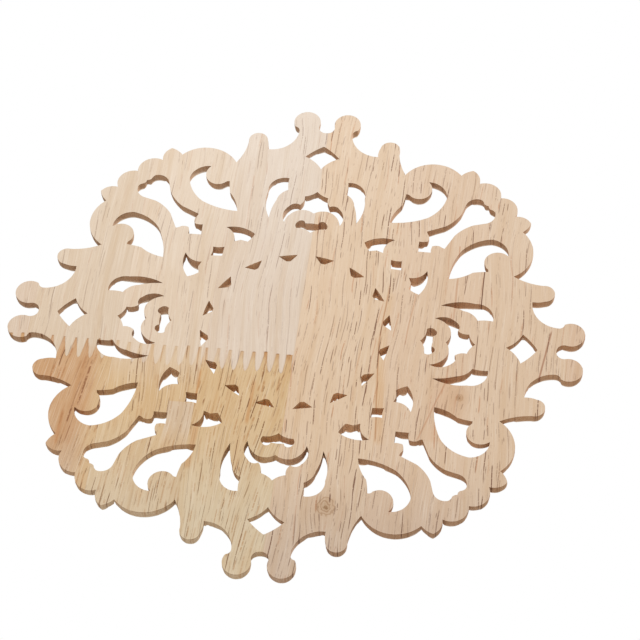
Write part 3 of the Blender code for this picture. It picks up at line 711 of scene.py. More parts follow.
# %% Close the walls
points = np.vstack([np.column_stack([front_flat, height, crease_shade]),
                    np.column_stack([back_flat, np.zeros((len(back_flat), 2))])])
below = {(round(x, 3), round(y, 3)): len(front_flat) + i for i, (x, y) in enumerate(back_flat)}
sides = {(int(f[k]), int(f[(k + 1) % 3])) for f in front_faces for k in range(3)}
wall_faces = []
for a, b in sides:
    if (b, a) in sides or on_seam(front_flat[a], front_flat[b]):
        continue
    foot_a = below[tuple(np.round(front_flat[a], 3))]
    foot_b = below[tuple(np.round(front_flat[b], 3))]
    wall_faces.append((b, a, foot_a, foot_b))
print("wall faces in one wedge:", len(wall_faces))

# %% [markdown]
# Eight copies, every second one mirrored, make the round. A mirrored copy has its faces turned
# inside out, so their corners are listed the other way round. Array and mirror modifiers could do
# this, but the next step needs to move every point of the whole round by itself.

# %% Make the round from eight wedges
def all_round(points, triangles, quads):
    """Eight copies of the wedge, every second one mirrored."""
    whole_points, whole_faces = [], []
    for quarter in range(4):
        for mirrored in (False, True):
            first = len(whole_points) * len(points)
            x, y = points[:, 0], points[:, 1]
            if mirrored:
                x, y = y, x
            for _turn in range(quarter):
                x, y = -y, x
            whole_points.append(np.column_stack([x, y, points[:, 2:]]))
            for faces in (triangles, quads):
                order = faces[:, ::-1] if mirrored else faces
                whole_faces += (order + first).tolist()
    return np.vstack(whole_points), whole_faces


triangles = np.vstack([front_faces, back_faces[:, ::-1] + len(front_flat)])
round_points, round_faces = all_round(points, triangles, np.array(wall_faces))
print("points all round, seams still double:", len(round_points))

# %% [markdown]
# No two leaves of a carved piece are quite alike. Slow waves over the whole round, worked out from
# each point's place, lower the carving by a few tenths of a millimetre and let the edges wander
# as little, never outwards, so that the piece keeps to its board. The back stays flat. A noise
# texture with a displacement would move the walls and the back too.

# %% Slow waves
def waves(x, y, spacing, seed):
    """A smooth uneven value from 0 to 1, with hills about a spacing apart."""
    # Six waves run different ways, and uneven factors keep them out of step.
    total = np.zeros(x.shape)
    for k in range(6):
        turn = seed * 1.7 + k * 1.13
        reach = 2 * math.pi / spacing * (0.7 + 0.16 * k)
        total += np.sin((x * math.cos(turn) + y * math.sin(turn)) * reach + seed * (k + 2.3))
    return np.clip(0.5 + total / 7, 0, 1)


sample = waves(np.linspace(0, 140, 400), np.zeros(400), 46, 1)
print(f"waves go from {sample.min():.2f} to {sample.max():.2f}")

# %% Let the hand show
CARVE_LOSS = 0.030                    # largest part of the height that a slow wave takes away
FINE_LOSS = 0.012                     # and a quick one
EDGE_LOSS = 0.35                      # largest inward drift of the edges
EDGE_DRIFT = 0.28                     # and sideways, either way
FRAY = 0.10                           # quick unevenness of the saw
STILL = 40.0                          # the drift grows from nothing in the middle to this radius
x, y, z, crease_shade = round_points.T
carved = np.where(z > 0, 1.0, 0.0)
z = z * (1 - carved * (CARVE_LOSS * waves(x, y, 46, 1) + FINE_LOSS * waves(x, y, 7.5, 2)))
radius = np.maximum(np.hypot(x, y), 1.0)
free = np.clip(radius / STILL, 0, 1)
inward = EDGE_LOSS * waves(x, y, 60, 3) * free
sideways = EDGE_DRIFT * (2 * waves(x, y, 70, 4) - 1) * free
fray = FRAY * (waves(x, y, 2.3, 5) - 0.5)
x, y = (x * (1 - (inward + fray) / radius) - y / radius * sideways,
        y * (1 - (inward + fray) / radius) + x / radius * sideways)
# Drawing to frame: drawing x stays x, drawing y is up, and carved height goes towards -Y.
placed = np.column_stack([x, -z, y]) * MM
print(f"now {(x.max() - x.min()):.2f} mm across, {z.max():.2f} mm thick")

# %% [markdown]
# Up to here the piece is only lists of numbers. Blender's mesh tools take them in, weld the seams
# between the wedges and turn every face outwards. Faces that meet gently are shaded as one smooth
# surface, and sharp corners such as the sawn edges stay crisp.

# %% Build the mesh
WELD = 1e-6                           # metres: points closer than this become one
SHARP = math.radians(38)              # a corner turned by more than this stays crisp
mesh = bmesh.new()
crease_shade_layer = mesh.verts.layers.float.new("crease_shade")
corners = [mesh.verts.new(place) for place in placed.tolist()]
for corner, value in zip(corners, crease_shade.tolist()):
    corner[crease_shade_layer] = value
for face in round_faces:
    mesh.faces.new([corners[i] for i in face])
bmesh.ops.remove_doubles(mesh, verts=mesh.verts, dist=WELD)
bmesh.ops.triangulate(mesh, faces=mesh.faces)
bmesh.ops.recalc_face_normals(mesh, faces=mesh.faces)
open_edges = [edge for edge in mesh.edges if not edge.is_manifold]
for edge in mesh.edges:
    edge.smooth = edge.calc_face_angle(0.0) < SHARP
for face in mesh.faces:
    face.smooth = True
shape = bpy.data.meshes.new("carved_applique")
mesh.to_mesh(shape)
mesh.free()
print("faces:", len(shape.polygons), "open edges:", len(open_edges))

# %% [markdown]
# The mesh becomes one object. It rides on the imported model's only body, stands for its only
# node and takes that node's wood slot.

# %% Tie the piece to the frame
applique = bpy.data.objects.new("carved_applique", shape)
bpy.context.scene.collection.objects.link(applique)
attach(applique, "root")
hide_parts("applique")
print("piece:", applique.name)

# %% [markdown]
# ## The finish
#
# Shader nodes do sums on every point of a surface. Drawn as boxes and wires the sums are hard to
# follow, so one small class wraps a node's output. Plus, minus, times and divided by add Math
# nodes. Colours are mixed instead, because a Math node would turn a colour grey. Every other node
# comes from one method: it makes the node's settings first and then fills its sockets.

# %% A socket that can be used in sums
class Tone:
    """A number, colour or place that changes over the surface: one output of a shader node."""

    def __init__(self, tree, socket=None):
        self.tree = tree
        self.socket = socket

    def node(self, kind, settings, sockets, output=0):
        """Adds a node: first its settings, then the values and links of its sockets."""
        made = self.tree.nodes.new(kind)
        for name, value in settings.items():
            setattr(made, name, value)
        for name, value in sockets.items():
            if isinstance(value, Tone):
                self.tree.links.new(value.socket, made.inputs[name])
            else:
                made.inputs[name].default_value = value
        return Tone(self.tree, made.outputs[output])

    def math(self, operation, *values):
        """One Math node with this as its first value."""
        sockets = {i: value for i, value in enumerate((self, *values))}
        return self.node("ShaderNodeMath", {"operation": operation}, sockets)

    def reflected(self, operation, first):
        """One Math node with this as its second value."""
        return self.node("ShaderNodeMath", {"operation": operation}, {0: first, 1: self})

    def __add__(self, other):
        return self.math("ADD", other)

    def __radd__(self, other):
        return self.reflected("ADD", other)

    def __sub__(self, other):
        return self.math("SUBTRACT", other)

    def __rsub__(self, other):
        return self.reflected("SUBTRACT", other)

    def __mul__(self, other):
        return self.math("MULTIPLY", other)

    def __rmul__(self, other):
        return self.reflected("MULTIPLY", other)

    def __truediv__(self, other):
        return self.math("DIVIDE", other)

    def __rtruediv__(self, other):
        return self.reflected("DIVIDE", other)

    def kept_above(self, least):
        """This number, but never under the least one."""
        return self.math("MAXIMUM", least)

    def ramp(self, start, end):
        """Goes from 0 to 1 as this goes from start to end, with soft ends."""
        return self.node("ShaderNodeMapRange", {"interpolation_type": "SMOOTHSTEP"},
                         {"Value": self, "From Min": start, "From Max": end,
                          "To Min": 0.0, "To Max": 1.0})

    def axis(self, name):
        """One of the three numbers of a place or a direction."""
        return self.node("ShaderNodeSeparateXYZ", {}, {0: self}, name)

    def mixed(self, mask, first, second, how="MIX"):
        """The first colour where the mask is 0, and the second one mixed in where it is 1."""
        # A Mix node has several sockets of each name, so colours go by number: 6 and 7 in, 2 out.
        return self.node("ShaderNodeMix", {"data_type": "RGBA", "blend_type": how},
                         {0: mask, 6: first, 7: second}, 2)

    def stained(self, mask, colour):
        """This colour, turned into another one where the mask is 1."""
        return self.mixed(mask, self, colour)

    def darkened(self, mask, tint):
        """This colour, multiplied by a tint where the mask is 1."""
        return self.mixed(mask, self, tint, "MULTIPLY")


print("sums that a tone knows: + - * /")

# %% [markdown]
# The piece is bare wood: sanded on the back, left from the tool on the front, without lacquer. One
# material is enough, and all of it is worked out from the place in the wood. So the grain runs on
# through the walls and over the carving, as it does in a real board. A picture laid over the
# surface would have to be stretched down every wall.

# %% Start the finish
wood = bpy.data.materials.new("pale_jointed_wood")
wood.use_nodes = True
tree = wood.node_tree
surface = tree.nodes["Principled BSDF"]
blank = Tone(tree)                    # tones that read no other tone start from this one
place = blank.node("ShaderNodeTexCoord", {}, {}, "Object")
# Seen from the back, right is -X. The sums below use millimetres: right, up and depth.
right = place.axis("X") * (-1 / MM)
up = place.axis("Z") * (1 / MM)
depth = place.axis("Y") * (-1 / MM)


def linear(red, green, blue):
    """A colour as it is seen on a screen, 0 to 255, turned into light."""
    return tuple((c / 255 / 12.92) if c / 255 <= 0.04045 else ((c / 255 + 0.055) / 1.055) ** 2.4
                 for c in (red, green, blue)) + (1.0,)


print("finish started:", wood.name)

# %% [markdown]
# Two kinds of chance are enough for wood. Soft noise, read at a place that is squeezed across the
# grain and stretched along it, gives bands, fibres and patches. White noise gives every finger and
# every line of pores a value of its own.

# %% Noise read at a place in the wood
def field(x, y, z):
    """A place in the wood from three values, for a texture to be read at."""
    return blank.node("ShaderNodeCombineXYZ", {}, {"X": x, "Y": y, "Z": z})


def noise(at, scale=1.0, detail=2.0, roughness=0.5):
    """Soft uneven value round 0.5."""
    return blank.node("ShaderNodeTexNoise", {"noise_dimensions": "3D"},
                      {"Vector": at, "Scale": scale, "Detail": detail, "Roughness": roughness})


def chance(a, b):
    """An even random value from 0 to 1 for each pair of whole numbers."""
    return blank.node("ShaderNodeTexWhiteNoise", {"noise_dimensions": "2D"},
                      {"Vector": field(a, b, 0.0)})


print("nodes so far:", len(tree.nodes))

# %% [markdown]
# ### Staves and finger joints
#
# The board is glued up from staves 46 mm wide. Dividing the way to the right by that width and
# dropping the fraction numbers the staves, and what is left over is the place within a stave.
# Separate pieces of wood, each with its own material, would be the other way, but then the
# outline would have to be cut into each of them.

# %% Tell the staves apart
STAVE, FIRST_SEAM = 46.35, 1.2        # width, and where the seam next to the middle runs
from_seam = right - FIRST_SEAM
stave = (from_seam / STAVE).math("FLOOR")
in_stave = from_seam - stave * STAVE


def in_number(number):
    """1 in one stave, 0 elsewhere."""
    return stave.math("COMPARE", float(number), 0.1)


print("stave width", STAVE, "mm")

# %% [markdown]
# The staves on the left are pieced together lengthwise with finger joints. Each finger of the
# lower wood is narrow and blunt at its tip and widens downwards, faster and faster, until the
# fingers meet. So one sum tells the two woods apart: how far the place is from the finger's middle
# line, against how wide the finger is at that height. Tips differ by chance, as they do in
# fingers that were cut a little deeper or less deep.

# %% Cut the fingers
FINGER, FIRST_FINGER, FINGER_LONG = 6.12, 1.35, 12.4   # spacing, first middle line, length
TIPS_AT, TIP_HALF, BASE_HALF = -15.7, 0.75, 2.35       # height, half widths at the tip and base
SLIM_TIP = 0.45                       # taken off the tips of the outermost stave, which are pointed
WIDE_TIP, LAST_FINGER = 0.7, 7.0      # added to the last finger beside the middle seam
TIP_PLAY = 1.2                        # how far tips differ in height
FLARE, LESS_FLARE = 1.8, 0.8          # power of the widening, and what the outermost stave lacks
WORN_SIDE = 0.5                       # how far the cut sides of a finger wander
finger_at = (in_stave - FIRST_FINGER) / FINGER + 0.5
finger = finger_at.math("FLOOR")
from_finger = (finger_at.math("FRACT") - 0.5).math("ABSOLUTE") * FINGER
tip_luck = chance(stave * 11.0 + finger, 5.0)
below_tip = tip_luck * TIP_PLAY - TIP_PLAY / 2 + TIPS_AT - up
widening = (below_tip / FINGER_LONG).kept_above(0.0).math("MINIMUM", 1.0)
widening = widening.math("POWER", FLARE - in_number(-3) * LESS_FLARE)
tip_half = finger.math("COMPARE", LAST_FINGER, 0.1) * in_number(-1) * WIDE_TIP
tip_half = tip_half - in_number(-3) * SLIM_TIP + TIP_HALF
closing = below_tip.ramp(FINGER_LONG - 1.6, FINGER_LONG + 1.4)
finger_half = tip_half + widening * (BASE_HALF - tip_half) + closing * 1.2
worn_side = (noise(field(right, up * 0.3, 1.0)) - 0.5) * WORN_SIDE
finger_edge = finger_half - from_finger + worn_side
jointed = stave.math("LESS_THAN", -0.5)
below_joint = finger_edge.ramp(-0.14, 0.14) * below_tip.ramp(-0.12, 0.12) * jointed
print("fingers", FINGER, "mm apart and", FINGER_LONG, "mm long")

# %% [markdown]
# Above the joint the staves are almost as pale as birch, and to the right they turn a little
# pinker. Below it the wood is a yellow tan that greys towards the rim, and the outermost stave
# is orange. Each stave gets a colour of its own, and the lower ones get two, near and far.

# %% Colour of each stave
UPPER = {-4: linear(214, 192, 170), -3: linear(216, 195, 171), -2: linear(222, 201, 178),
         -1: linear(222, 203, 184), 0: linear(224, 197, 168), 1: linear(222, 194, 166),
         2: linear(223, 196, 168), 3: linear(220, 190, 162)}
LOWER_NEAR = {-3: linear(202, 160, 118), -2: linear(214, 182, 139), -1: linear(216, 185, 142)}
LOWER_FAR = {-3: linear(206, 178, 148), -2: linear(214, 192, 161), -1: linear(216, 196, 165)}
NEAR_TO, FAR_SPAN = -58.0, 54.0       # height where the far colours start, and the way to them


def by_stave(colours, colour):
    """One colour for each stave, starting from the one that the others are put over."""
    for number, own in colours.items():
        colour = blank.mixed(in_number(number), colour, own)
    return colour


upper = by_stave(UPPER, UPPER[0])
far_down = ((NEAR_TO - up) / FAR_SPAN).kept_above(0.0).math("MINIMUM", 1.0)
lower = by_stave(LOWER_NEAR, LOWER_NEAR[-1])
lower = lower.stained(far_down, by_stave(LOWER_FAR, LOWER_FAR[-1]))
print("stave colours:", len(UPPER) + len(LOWER_NEAR) + len(LOWER_FAR))

# %% [markdown]
# A stave is never one flat colour. The outermost one turns yellow towards its neighbour. The upper
# part, most of all on the left, is lightened with painted light, and the lower right rim is darkened
# and greyed with painted shade. A short pale patch, sharp on three sides, lies below the joint.
# Beside some fingers the two woods are so alike that the joint fades.

# %% Lay the stave colours on, with painted light at the top and painted shade at the lower rim
TOP_PAINTED_LIGHT, RIM_PAINTED_SHADE, PALE_PATCH = linear(238, 230, 221), (0.84, 0.85, 0.90, 1.0), linear(214, 190, 163)
PALE_PATCH_LEFT, PALE_PATCH_RIGHT, PALE_PATCH_TOP, PALE_PATCH_FOOT = -58.3, -45.3, -50.5, -84.0
YELLOW_FROM, YELLOW_TO = -103.0, -93.0                 # the turn to yellow, left to right
yellowing = (noise(field(3.0, up * 0.05, 0.0)) - 0.5) * 8.0 + right
yellowing = yellowing.ramp(YELLOW_FROM, YELLOW_TO) * in_number(-3)
lower = lower.stained(yellowing * 0.8, LOWER_NEAR[-2])
to_seam = (in_stave / STAVE).ramp(0.1, 0.7)
alike = in_number(-2) * (1.0 - below_tip.ramp(8.0, 32.0)) * 0.45
alike = alike + in_number(-1) * (1.0 - to_seam) * (1.0 - below_tip.ramp(4.0, 15.0)) * 0.55
right_half = (right + 1.0).ramp(0.0, 4.0)
# Painted light: the upper part is lightened towards a pale colour, more on the left.
painted_top_light = up.ramp(5.0, 130.0) * (0.22 - right_half * 0.12)
# Painted shade: the lower right rim is darkened and greyed.
low_rim_shade = (up * -1.0).ramp(60.0, 140.0) * right_half
colour = upper.stained(painted_top_light, TOP_PAINTED_LIGHT)
colour = colour.stained(below_joint * (1.0 - alike), lower)
colour = colour.darkened(low_rim_shade, RIM_PAINTED_SHADE)
# A pale patch below the joint, sharp on the left, right and top, fading at the foot.
pale_patch = (right - PALE_PATCH_LEFT).ramp(-0.3, 0.3)
pale_patch = pale_patch * (1.0 - (right - PALE_PATCH_RIGHT).ramp(-0.2, 0.2))
pale_patch = pale_patch * (1.0 - (up - PALE_PATCH_TOP).ramp(-0.4, 0.4)) * (up - PALE_PATCH_FOOT).ramp(0.0, 22.0)
colour = colour.stained(pale_patch * 0.85, PALE_PATCH)
print("stave colours laid on")

# %% [markdown]
# ### Grain and pores
#
# Sap ran up the tree, so the fibres run along the stave in soft bands of early and late wood. The
# bands are noise pulled out along the grain. A stave is seldom cut quite along its fibres, and a
# knot pushes them aside, so the place across the grain is bent first and everything that follows
# reads the bent place.

# %% Bend the grain
KNOTS = [(28.2, -105.6, 5.9), (88.0, -34.0, 2.4)]      # right, up, radius


def knot_push(at_right, at_up, size):
    """How far a knot pushes the grain aside."""
    off_right = right - at_right
    off_up = (up - at_up) * 0.6
    near = (off_right * off_right + off_up * off_up).math("SQRT")
    return off_right * (1.0 - near.ramp(0.0, size * 2.6)) * -0.5


# Every stave leans a little by chance, and two of the lower ones lean as measured.
lean = (chance(stave, 3.0) - 0.5) * 0.05
lean = lean - below_joint * (in_number(-1) * (to_seam * 0.09 + 0.03) + in_number(-3) * 0.10)
drift = (noise(field(right * 0.02, up * 0.012, stave), detail=1.0) - 0.5) * 9.0
across = right + up * lean + drift
for knot in KNOTS:
    across = across + knot_push(*knot)
print("knots that bend the grain:", len(KNOTS))

# %% Bands, fibres and patches
LATE_WOOD, FIBRE_SHADE = (0.90, 0.83, 0.73, 1.0), (0.92, 0.88, 0.82, 1.0)
PATCH_SHADE, WARM_SHADE = (0.96, 0.92, 0.86, 1.0), (0.93, 0.80, 0.64, 1.0)
PALE_FIBRE = linear(247, 236, 220)
bands = noise(field(across * 0.16, up * 0.004, stave * 7.0 + depth * 0.02), 1.0, 3.0, 0.55)
fibre = noise(field(across * 2.0, up * 0.035, depth * 0.35), 1.0, 2.0, 0.6)
patches = noise(field(across * 0.035, up * 0.012, stave * 3.0))
warm = noise(field(across * 0.13, up * 0.016, stave + 30.0), detail=1.0).ramp(0.52, 0.72)
colour = colour.darkened((bands - 0.48).kept_above(0.0) * 3.0, LATE_WOOD)
colour = colour.darkened((fibre - 0.42).kept_above(0.0) * 1.5, FIBRE_SHADE)
colour = colour.stained((0.47 - fibre).kept_above(0.0) * 1.3, PALE_FIBRE)
colour = colour.darkened(patches.ramp(0.45, 0.75) * 0.5, PATCH_SHADE)
colour = colour.darkened(warm * below_joint * 0.5, WARM_SHADE)
print("bands, fibres and patches mixed")

# %% [markdown]
# The sap's vessels were cut open lengthwise by the saw, and they show as thin broken dark lines,
# all running the same way. They are drawn one to a column: each narrow column throws a number for
# where its line runs and how dark it is, and a noise along it breaks the line up. Scratches from
# a noise texture alone would be smeared out, while these keep a real line's width.

# %% Pores as broken lines
def vessels(width, thick, long, covered, seed):
    """Thin broken lines along the grain, one to a column of some width in millimetres."""
    column_at = across / width + seed * 0.37
    column = column_at.math("FLOOR")
    wander = (noise(field(column * 3.7, up * 0.05, seed), detail=0.0) - 0.5) * 0.5
    centre = chance(column, seed) * 0.5 + 0.25 + wander
    aside = (column_at.math("FRACT") - centre).math("ABSOLUTE") * width
    slim = 1.0 - aside.ramp(thick * 0.45, thick)
    run = noise(field(column * 7.3, up / long, seed + depth * 0.02), detail=1.0)
    run = run.ramp(0.66 - covered * 0.3, 0.74 - covered * 0.3)
    broken = noise(field(column * 3.1, up * 0.9, seed + 40.0), detail=1.0).ramp(0.24, 0.44)
    dark = chance(column, seed + 9.0) * 0.68 + 0.32
    return slim * run * broken * dark


pores = vessels(3.4, 0.32, 21.0, 0.62, 1.0)
pores = pores.math("MAXIMUM", vessels(2.6, 0.27, 12.0, 0.38, 2.0) * 0.9)
pores = pores.math("MAXIMUM", vessels(1.2, 0.26, 5.0, 0.26, 3.0) * 0.4)
print("pores drawn in three sizes")

# %% [markdown]
# On the flat back the vessels lie open for a long way. On the carved face the tool crosses them
# again and again, so their lines are weaker there. The surface's own direction tells the two
# sides apart: it points to the back, or out of the carving. Pores also crowd in some bands, and
# the palest staves have few.

# %% Stain the pores
PORE_BROWN, LOWER_PORE = (0.24, 0.11, 0.07, 1.0), (0.30, 0.15, 0.06, 1.0)
PORE_STAIN, RED_LINE = (0.68, 0.45, 0.27, 1.0), (0.74, 0.48, 0.34, 1.0)
to_back = blank.node("ShaderNodeNewGeometry", {}, {}, "True Normal").axis("Y")
carved_side = (to_back * -1.0).ramp(0.05, 0.35)
cut_across = 1.0 - carved_side * 0.55
pale_side = jointed * (1.0 - below_joint)
crowded = noise(field(across * 0.11, up * 0.009, stave * 5.0 + 2.0), detail=1.0).ramp(0.34, 0.62)
porous = crowded * 0.75 + 0.25 - pale_side * 0.5
porous = porous - in_number(1) * 0.05 - in_number(2) * 0.08 + in_number(0) * 0.10
pores = pores * porous.kept_above(0.12) * cut_across
colour = colour.darkened(pores, blank.mixed(below_joint, PORE_BROWN, LOWER_PORE))
stained_lines = vessels(2.1, 0.60, 14.0, 0.55, 4.0) * below_joint * (crowded * 0.7 + 0.3)
colour = colour.darkened(stained_lines * cut_across * 0.75, PORE_STAIN)
red_lines = vessels(5.3, 0.45, 22.0, 0.45, 5.0) * (1.0 - below_joint) * (1.0 - pale_side * 0.5)
colour = colour.darkened(red_lines * cut_across * 0.7, RED_LINE)
print("stained lines drawn in two kinds, nodes so far:", len(tree.nodes))

# %% [markdown]
# ### Seams and finger tips
#
# A glue line is hardly wider than a hair, and it comes and goes with how well the staves met. At
# the finger tips the saw left small gaps, glue and dust fill them, and the wood round them took a
# brown stain. Each mark is a soft mask round a line, strongest where the two woods differ most.

# %% Mark the glue lines
GLUE_BROWN = (0.70, 0.52, 0.38, 1.0)
from_glue = (in_stave / STAVE - 0.5).math("ABSOLUTE") * -STAVE + STAVE / 2
seam = 1.0 - from_glue.ramp(0.05, 0.32)
seam_show = noise(field(stave, up * 0.03, 2.0), detail=1.0).ramp(0.35, 0.7)
colour = colour.darkened(seam * seam_show * 0.5, GLUE_BROWN)
print("glue lines marked")

# %% Mark the finger joint
SIDE_BROWN, TIP_BROWN = (0.72, 0.56, 0.38, 1.0), (0.74, 0.50, 0.31, 1.0)
GAP_BROWN = (0.45, 0.28, 0.17, 1.0)
# The joint shows less where the woods above and below it are alike.
strong = (1.0 - in_number(-2) * 0.72) * (1.0 - in_number(-1) * (1.0 - to_seam) * 0.7)
strong = strong * (1.0 - in_number(-3) * 0.4)
in_fingers = below_tip.ramp(-0.3, 0.3) * (1.0 - below_tip.ramp(11.0, 14.0)) * jointed * strong
finger_side = 1.0 - (finger_edge + 0.1).math("ABSOLUTE").ramp(0.05, 0.55)
colour = colour.darkened(finger_side * in_fingers * 0.42, SIDE_BROWN)
tip_stain = below_joint * (1.0 - below_tip.ramp(0.5, 7.0)) * strong * (tip_luck * 0.6 + 0.4)
colour = colour.darkened(tip_stain * 0.9, TIP_BROWN)
tip_gap = (1.0 - (below_tip - 0.1).math("ABSOLUTE").ramp(0.1, 0.6)) * jointed * strong
tip_gap = tip_gap * (1.0 - from_finger.ramp(0.4, 0.8))
colour = colour.darkened(tip_gap * 0.6, GAP_BROWN)
print("finger tips marked")

# %% [markdown]
# ### Knots and streaks
#
# A knot is a branch cut across: a dark heart, rings round it that are never quite round, and a
# darker halo where the trunk grew about it. The distance from its middle, made uneven with noise,
# gives all three, and a sine turns distance into rings.

# %% Knots
HALO, KNOT_WOOD = (0.88, 0.80, 0.72, 1.0), (0.78, 0.68, 0.54, 1.0)
KNOT_RING, KNOT_HEART = (0.58, 0.43, 0.30, 1.0), (0.60, 0.50, 0.34, 1.0)
RING_GAP = 0.34                       # from one ring to the next, as a part of the knot's radius
for at_right, at_up, size in KNOTS:
    off_right = (right - at_right) * 1.1
    off_up = (up - at_up) * 0.9
    near = (off_right * off_right + off_up * off_up).math("SQRT")
    near = near + (noise(field(right * 0.35, up * 0.35, 0.0)) - 0.5) * size * 0.7
    rings = (near * (2 * math.pi / (size * RING_GAP))).math("SINE").ramp(-0.2, 1.0)
    inside = 1.0 - near.ramp(size * 0.6, size * 1.15)
    heart = 1.0 - near.ramp(size * 0.10, size * 0.40)
    colour = colour.darkened((1.0 - near.ramp(size, size * 3.0)) * 0.35, HALO)
    colour = colour.darkened(inside * 0.40, KNOT_WOOD)
    colour = colour.darkened(inside * rings * 0.6, KNOT_RING)
    colour = colour.darkened(heart * 0.6, KNOT_HEART)
print("knots:", len(KNOTS))

# %% [markdown]
# An orange pitch streak, two reddish growth lines and a dark split along one seam run up the right
# half. Each is a soft upright line about a middle that may lean or bend, so one function draws
# them all, and what differs is only where the middle runs.

# %% Pitch, growth lines and the split
PITCH_WOOD, PITCH = (0.95, 0.84, 0.68, 1.0), (0.62, 0.38, 0.22, 1.0)
GROWTH_LINE, DARK_LINE = (0.74, 0.50, 0.38, 1.0), (0.52, 0.30, 0.22, 1.0)
SPLIT_DARK = (0.22, 0.10, 0.06, 1.0)
PITCH_AT, GROWTH_AT, DARK_AT, SPLIT_AT = 43.7, 80.4, 129.5, 93.9    # how far right each one runs
PITCH_BEND, GROWTH_BEND = -5.0, -24.0                               # height where two of them bend


def line_at(middle, half, top, bottom):
    """A soft upright line about a middle, from a top to a bottom, in millimetres."""
    off = (right - middle).math("ABSOLUTE")
    ends = (up - bottom).ramp(0.0, 4.0) * (1.0 - (up - top).ramp(-4.0, 0.0))
    return (1.0 - off.ramp(half * 0.3, half)) * ends


sway = (noise(field(0.0, up * 0.06, 5.0), detail=1.0) - 0.5) * 1.6
pitch = ((PITCH_BEND - up) * 0.078).math("MAXIMUM", (up - PITCH_BEND) * 0.045)
pitch = pitch + PITCH_AT + sway * 0.5
pitch_wood = line_at(pitch + 1.6, 3.4, 30.0, -68.0)
pitch_wood = pitch_wood * (1.0 - (up + 42.0).math("ABSOLUTE").ramp(4.0, 40.0) * 0.6)
colour = colour.darkened(pitch_wood * 0.8, PITCH_WOOD)
colour = colour.darkened(line_at(pitch, 0.55, 36.0, -66.0) * 0.6, PITCH)
growth = GROWTH_AT - ((GROWTH_BEND - up) * 0.30).kept_above(0.0) + sway * 0.4
colour = colour.darkened(line_at(growth, 0.7, 44.0, -64.0) * 0.5, GROWTH_LINE)
colour = colour.darkened(line_at(DARK_AT + up * 0.14, 0.7, 14.0, -24.0) * 0.75, DARK_LINE)
split_above = line_at(sway * 0.15 + SPLIT_AT, 0.42, 52.0, 22.0)
split_below = line_at(SPLIT_AT, 0.36, 8.0, -17.0) * 0.8
colour = colour.darkened(split_above.math("MAXIMUM", split_below) * 0.95, SPLIT_DARK)
print("pitch, growth lines and split drawn")

# %% [markdown]
# The lower wood has rust and umber streaks where minerals settled along the grain. The same line
# draws them, from a short table: where the middle is at what height, how it slants, how wide and
# how long it is, how strong, and in which stain. The dark ones are worn, so a noise breaks them.

# %% Mineral streaks
RUST, UMBER = (0.85, 0.62, 0.42, 1.0), (0.46, 0.28, 0.16, 1.0)
# Middle, at height, slant, half width, top, bottom, strength, stain.
STREAKS = [
    (-45.0, -40.0, 0.00, 0.80, -28.0, -52.0, 0.80, RUST),
    (-42.6, -75.0, 0.03, 2.20, -62.0, -92.0, 0.60, RUST),
    (-17.0, -45.0, 0.02, 1.30, -32.0, -62.0, 0.70, RUST),
    (-104.6, -45.0, 0.05, 4.60, -18.0, -84.0, 0.22, RUST),
    (-111.0, -72.0, 0.03, 1.20, -60.0, -84.0, 0.60, RUST),
    (82.0, -42.0, 0.00, 13.0, -20.0, -64.0, 0.28, RUST),
    (-102.8, -45.0, 0.10, 0.75, -28.0, -59.0, 0.85, UMBER),
    (-107.2, -64.0, 0.11, 0.75, -56.0, -71.0, 0.85, UMBER),
    (-22.0, -47.0, 0.04, 0.60, -40.0, -56.0, 0.80, UMBER),
    (-2.6, -62.0, 0.06, 0.60, -57.0, -67.0, 0.90, UMBER),
    (-3.2, -33.0, 0.20, 0.60, -26.0, -41.0, 0.70, UMBER),
    (-40.6, -48.0, 0.09, 0.60, -44.0, -53.0, 0.80, UMBER)]
worn = noise(field(right * 0.9, up * 0.5, 8.0), detail=1.0).ramp(0.36, 0.56)
for middle, at_up, slant, half, top, bottom, strength, stain in STREAKS:
    streak = line_at((up - at_up) * slant + middle, half, top, bottom) * strength
    colour = colour.darkened(streak * worn if stain == UMBER else streak, stain)
print("streaks:", len(STREAKS))

# %% [markdown]
# ### Sawn walls
#
# The walls of the openings were sawn, so they are rougher and browner than the sanded back, and a
# little scorched along the back's edge. Their brown also holds painted shade, as walls that face
# away from the light would have. On a wall the surface points sideways, neither towards the back
# nor out of the carving, and that tells where they are. A second material on the wall faces would do
# it too, but its edge would have to follow every later change of the mesh. The walls are darkened
# less down on the left and in the middle.

# %% Brown the sawn walls and paint shade on them
WALL_SHADE_BROWN, WALL_WARM = (0.66, 0.52, 0.40, 1.0), (1.0, 0.87, 0.70, 1.0)
SAW_MARK, SCORCH = (0.66, 0.50, 0.36, 1.0), (0.42, 0.26, 0.17, 1.0)
wall = 1.0 - to_back.math("ABSOLUTE").ramp(0.10, 0.30)
from_middle = (right * right + up * up).math("SQRT")
in_middle = 1.0 - from_middle.ramp(54.0, 84.0)
# Where the walls get less of the painted shade and brown: down on the left and in the middle.
paler_walls = (right * -1.0).ramp(-50.0, 30.0) * (up * -1.0).ramp(20.0, 90.0)
paler_walls = (paler_walls * 0.6).math("MAXIMUM", in_middle * 0.8)
# Painted shade and sawn brown together darken the walls.
colour = colour.darkened(wall * (1.0 - paler_walls), WALL_SHADE_BROWN)
colour = colour.darkened(wall * in_middle, WALL_WARM)
saw_marks = noise(field(right * 2.2, up * 2.2, depth * 0.5), 1.0, 3.0, 0.6).ramp(0.42, 0.72)
colour = colour.darkened(wall * saw_marks * 0.5, SAW_MARK)
scorch = wall * (1.0 - depth.ramp(0.1, 0.9))
scorch = scorch * noise(field(right * 0.4, up * 0.4, 3.0)).ramp(0.4, 0.6)
colour = colour.darkened(scorch * 0.5, SCORCH)
print("walls toned")
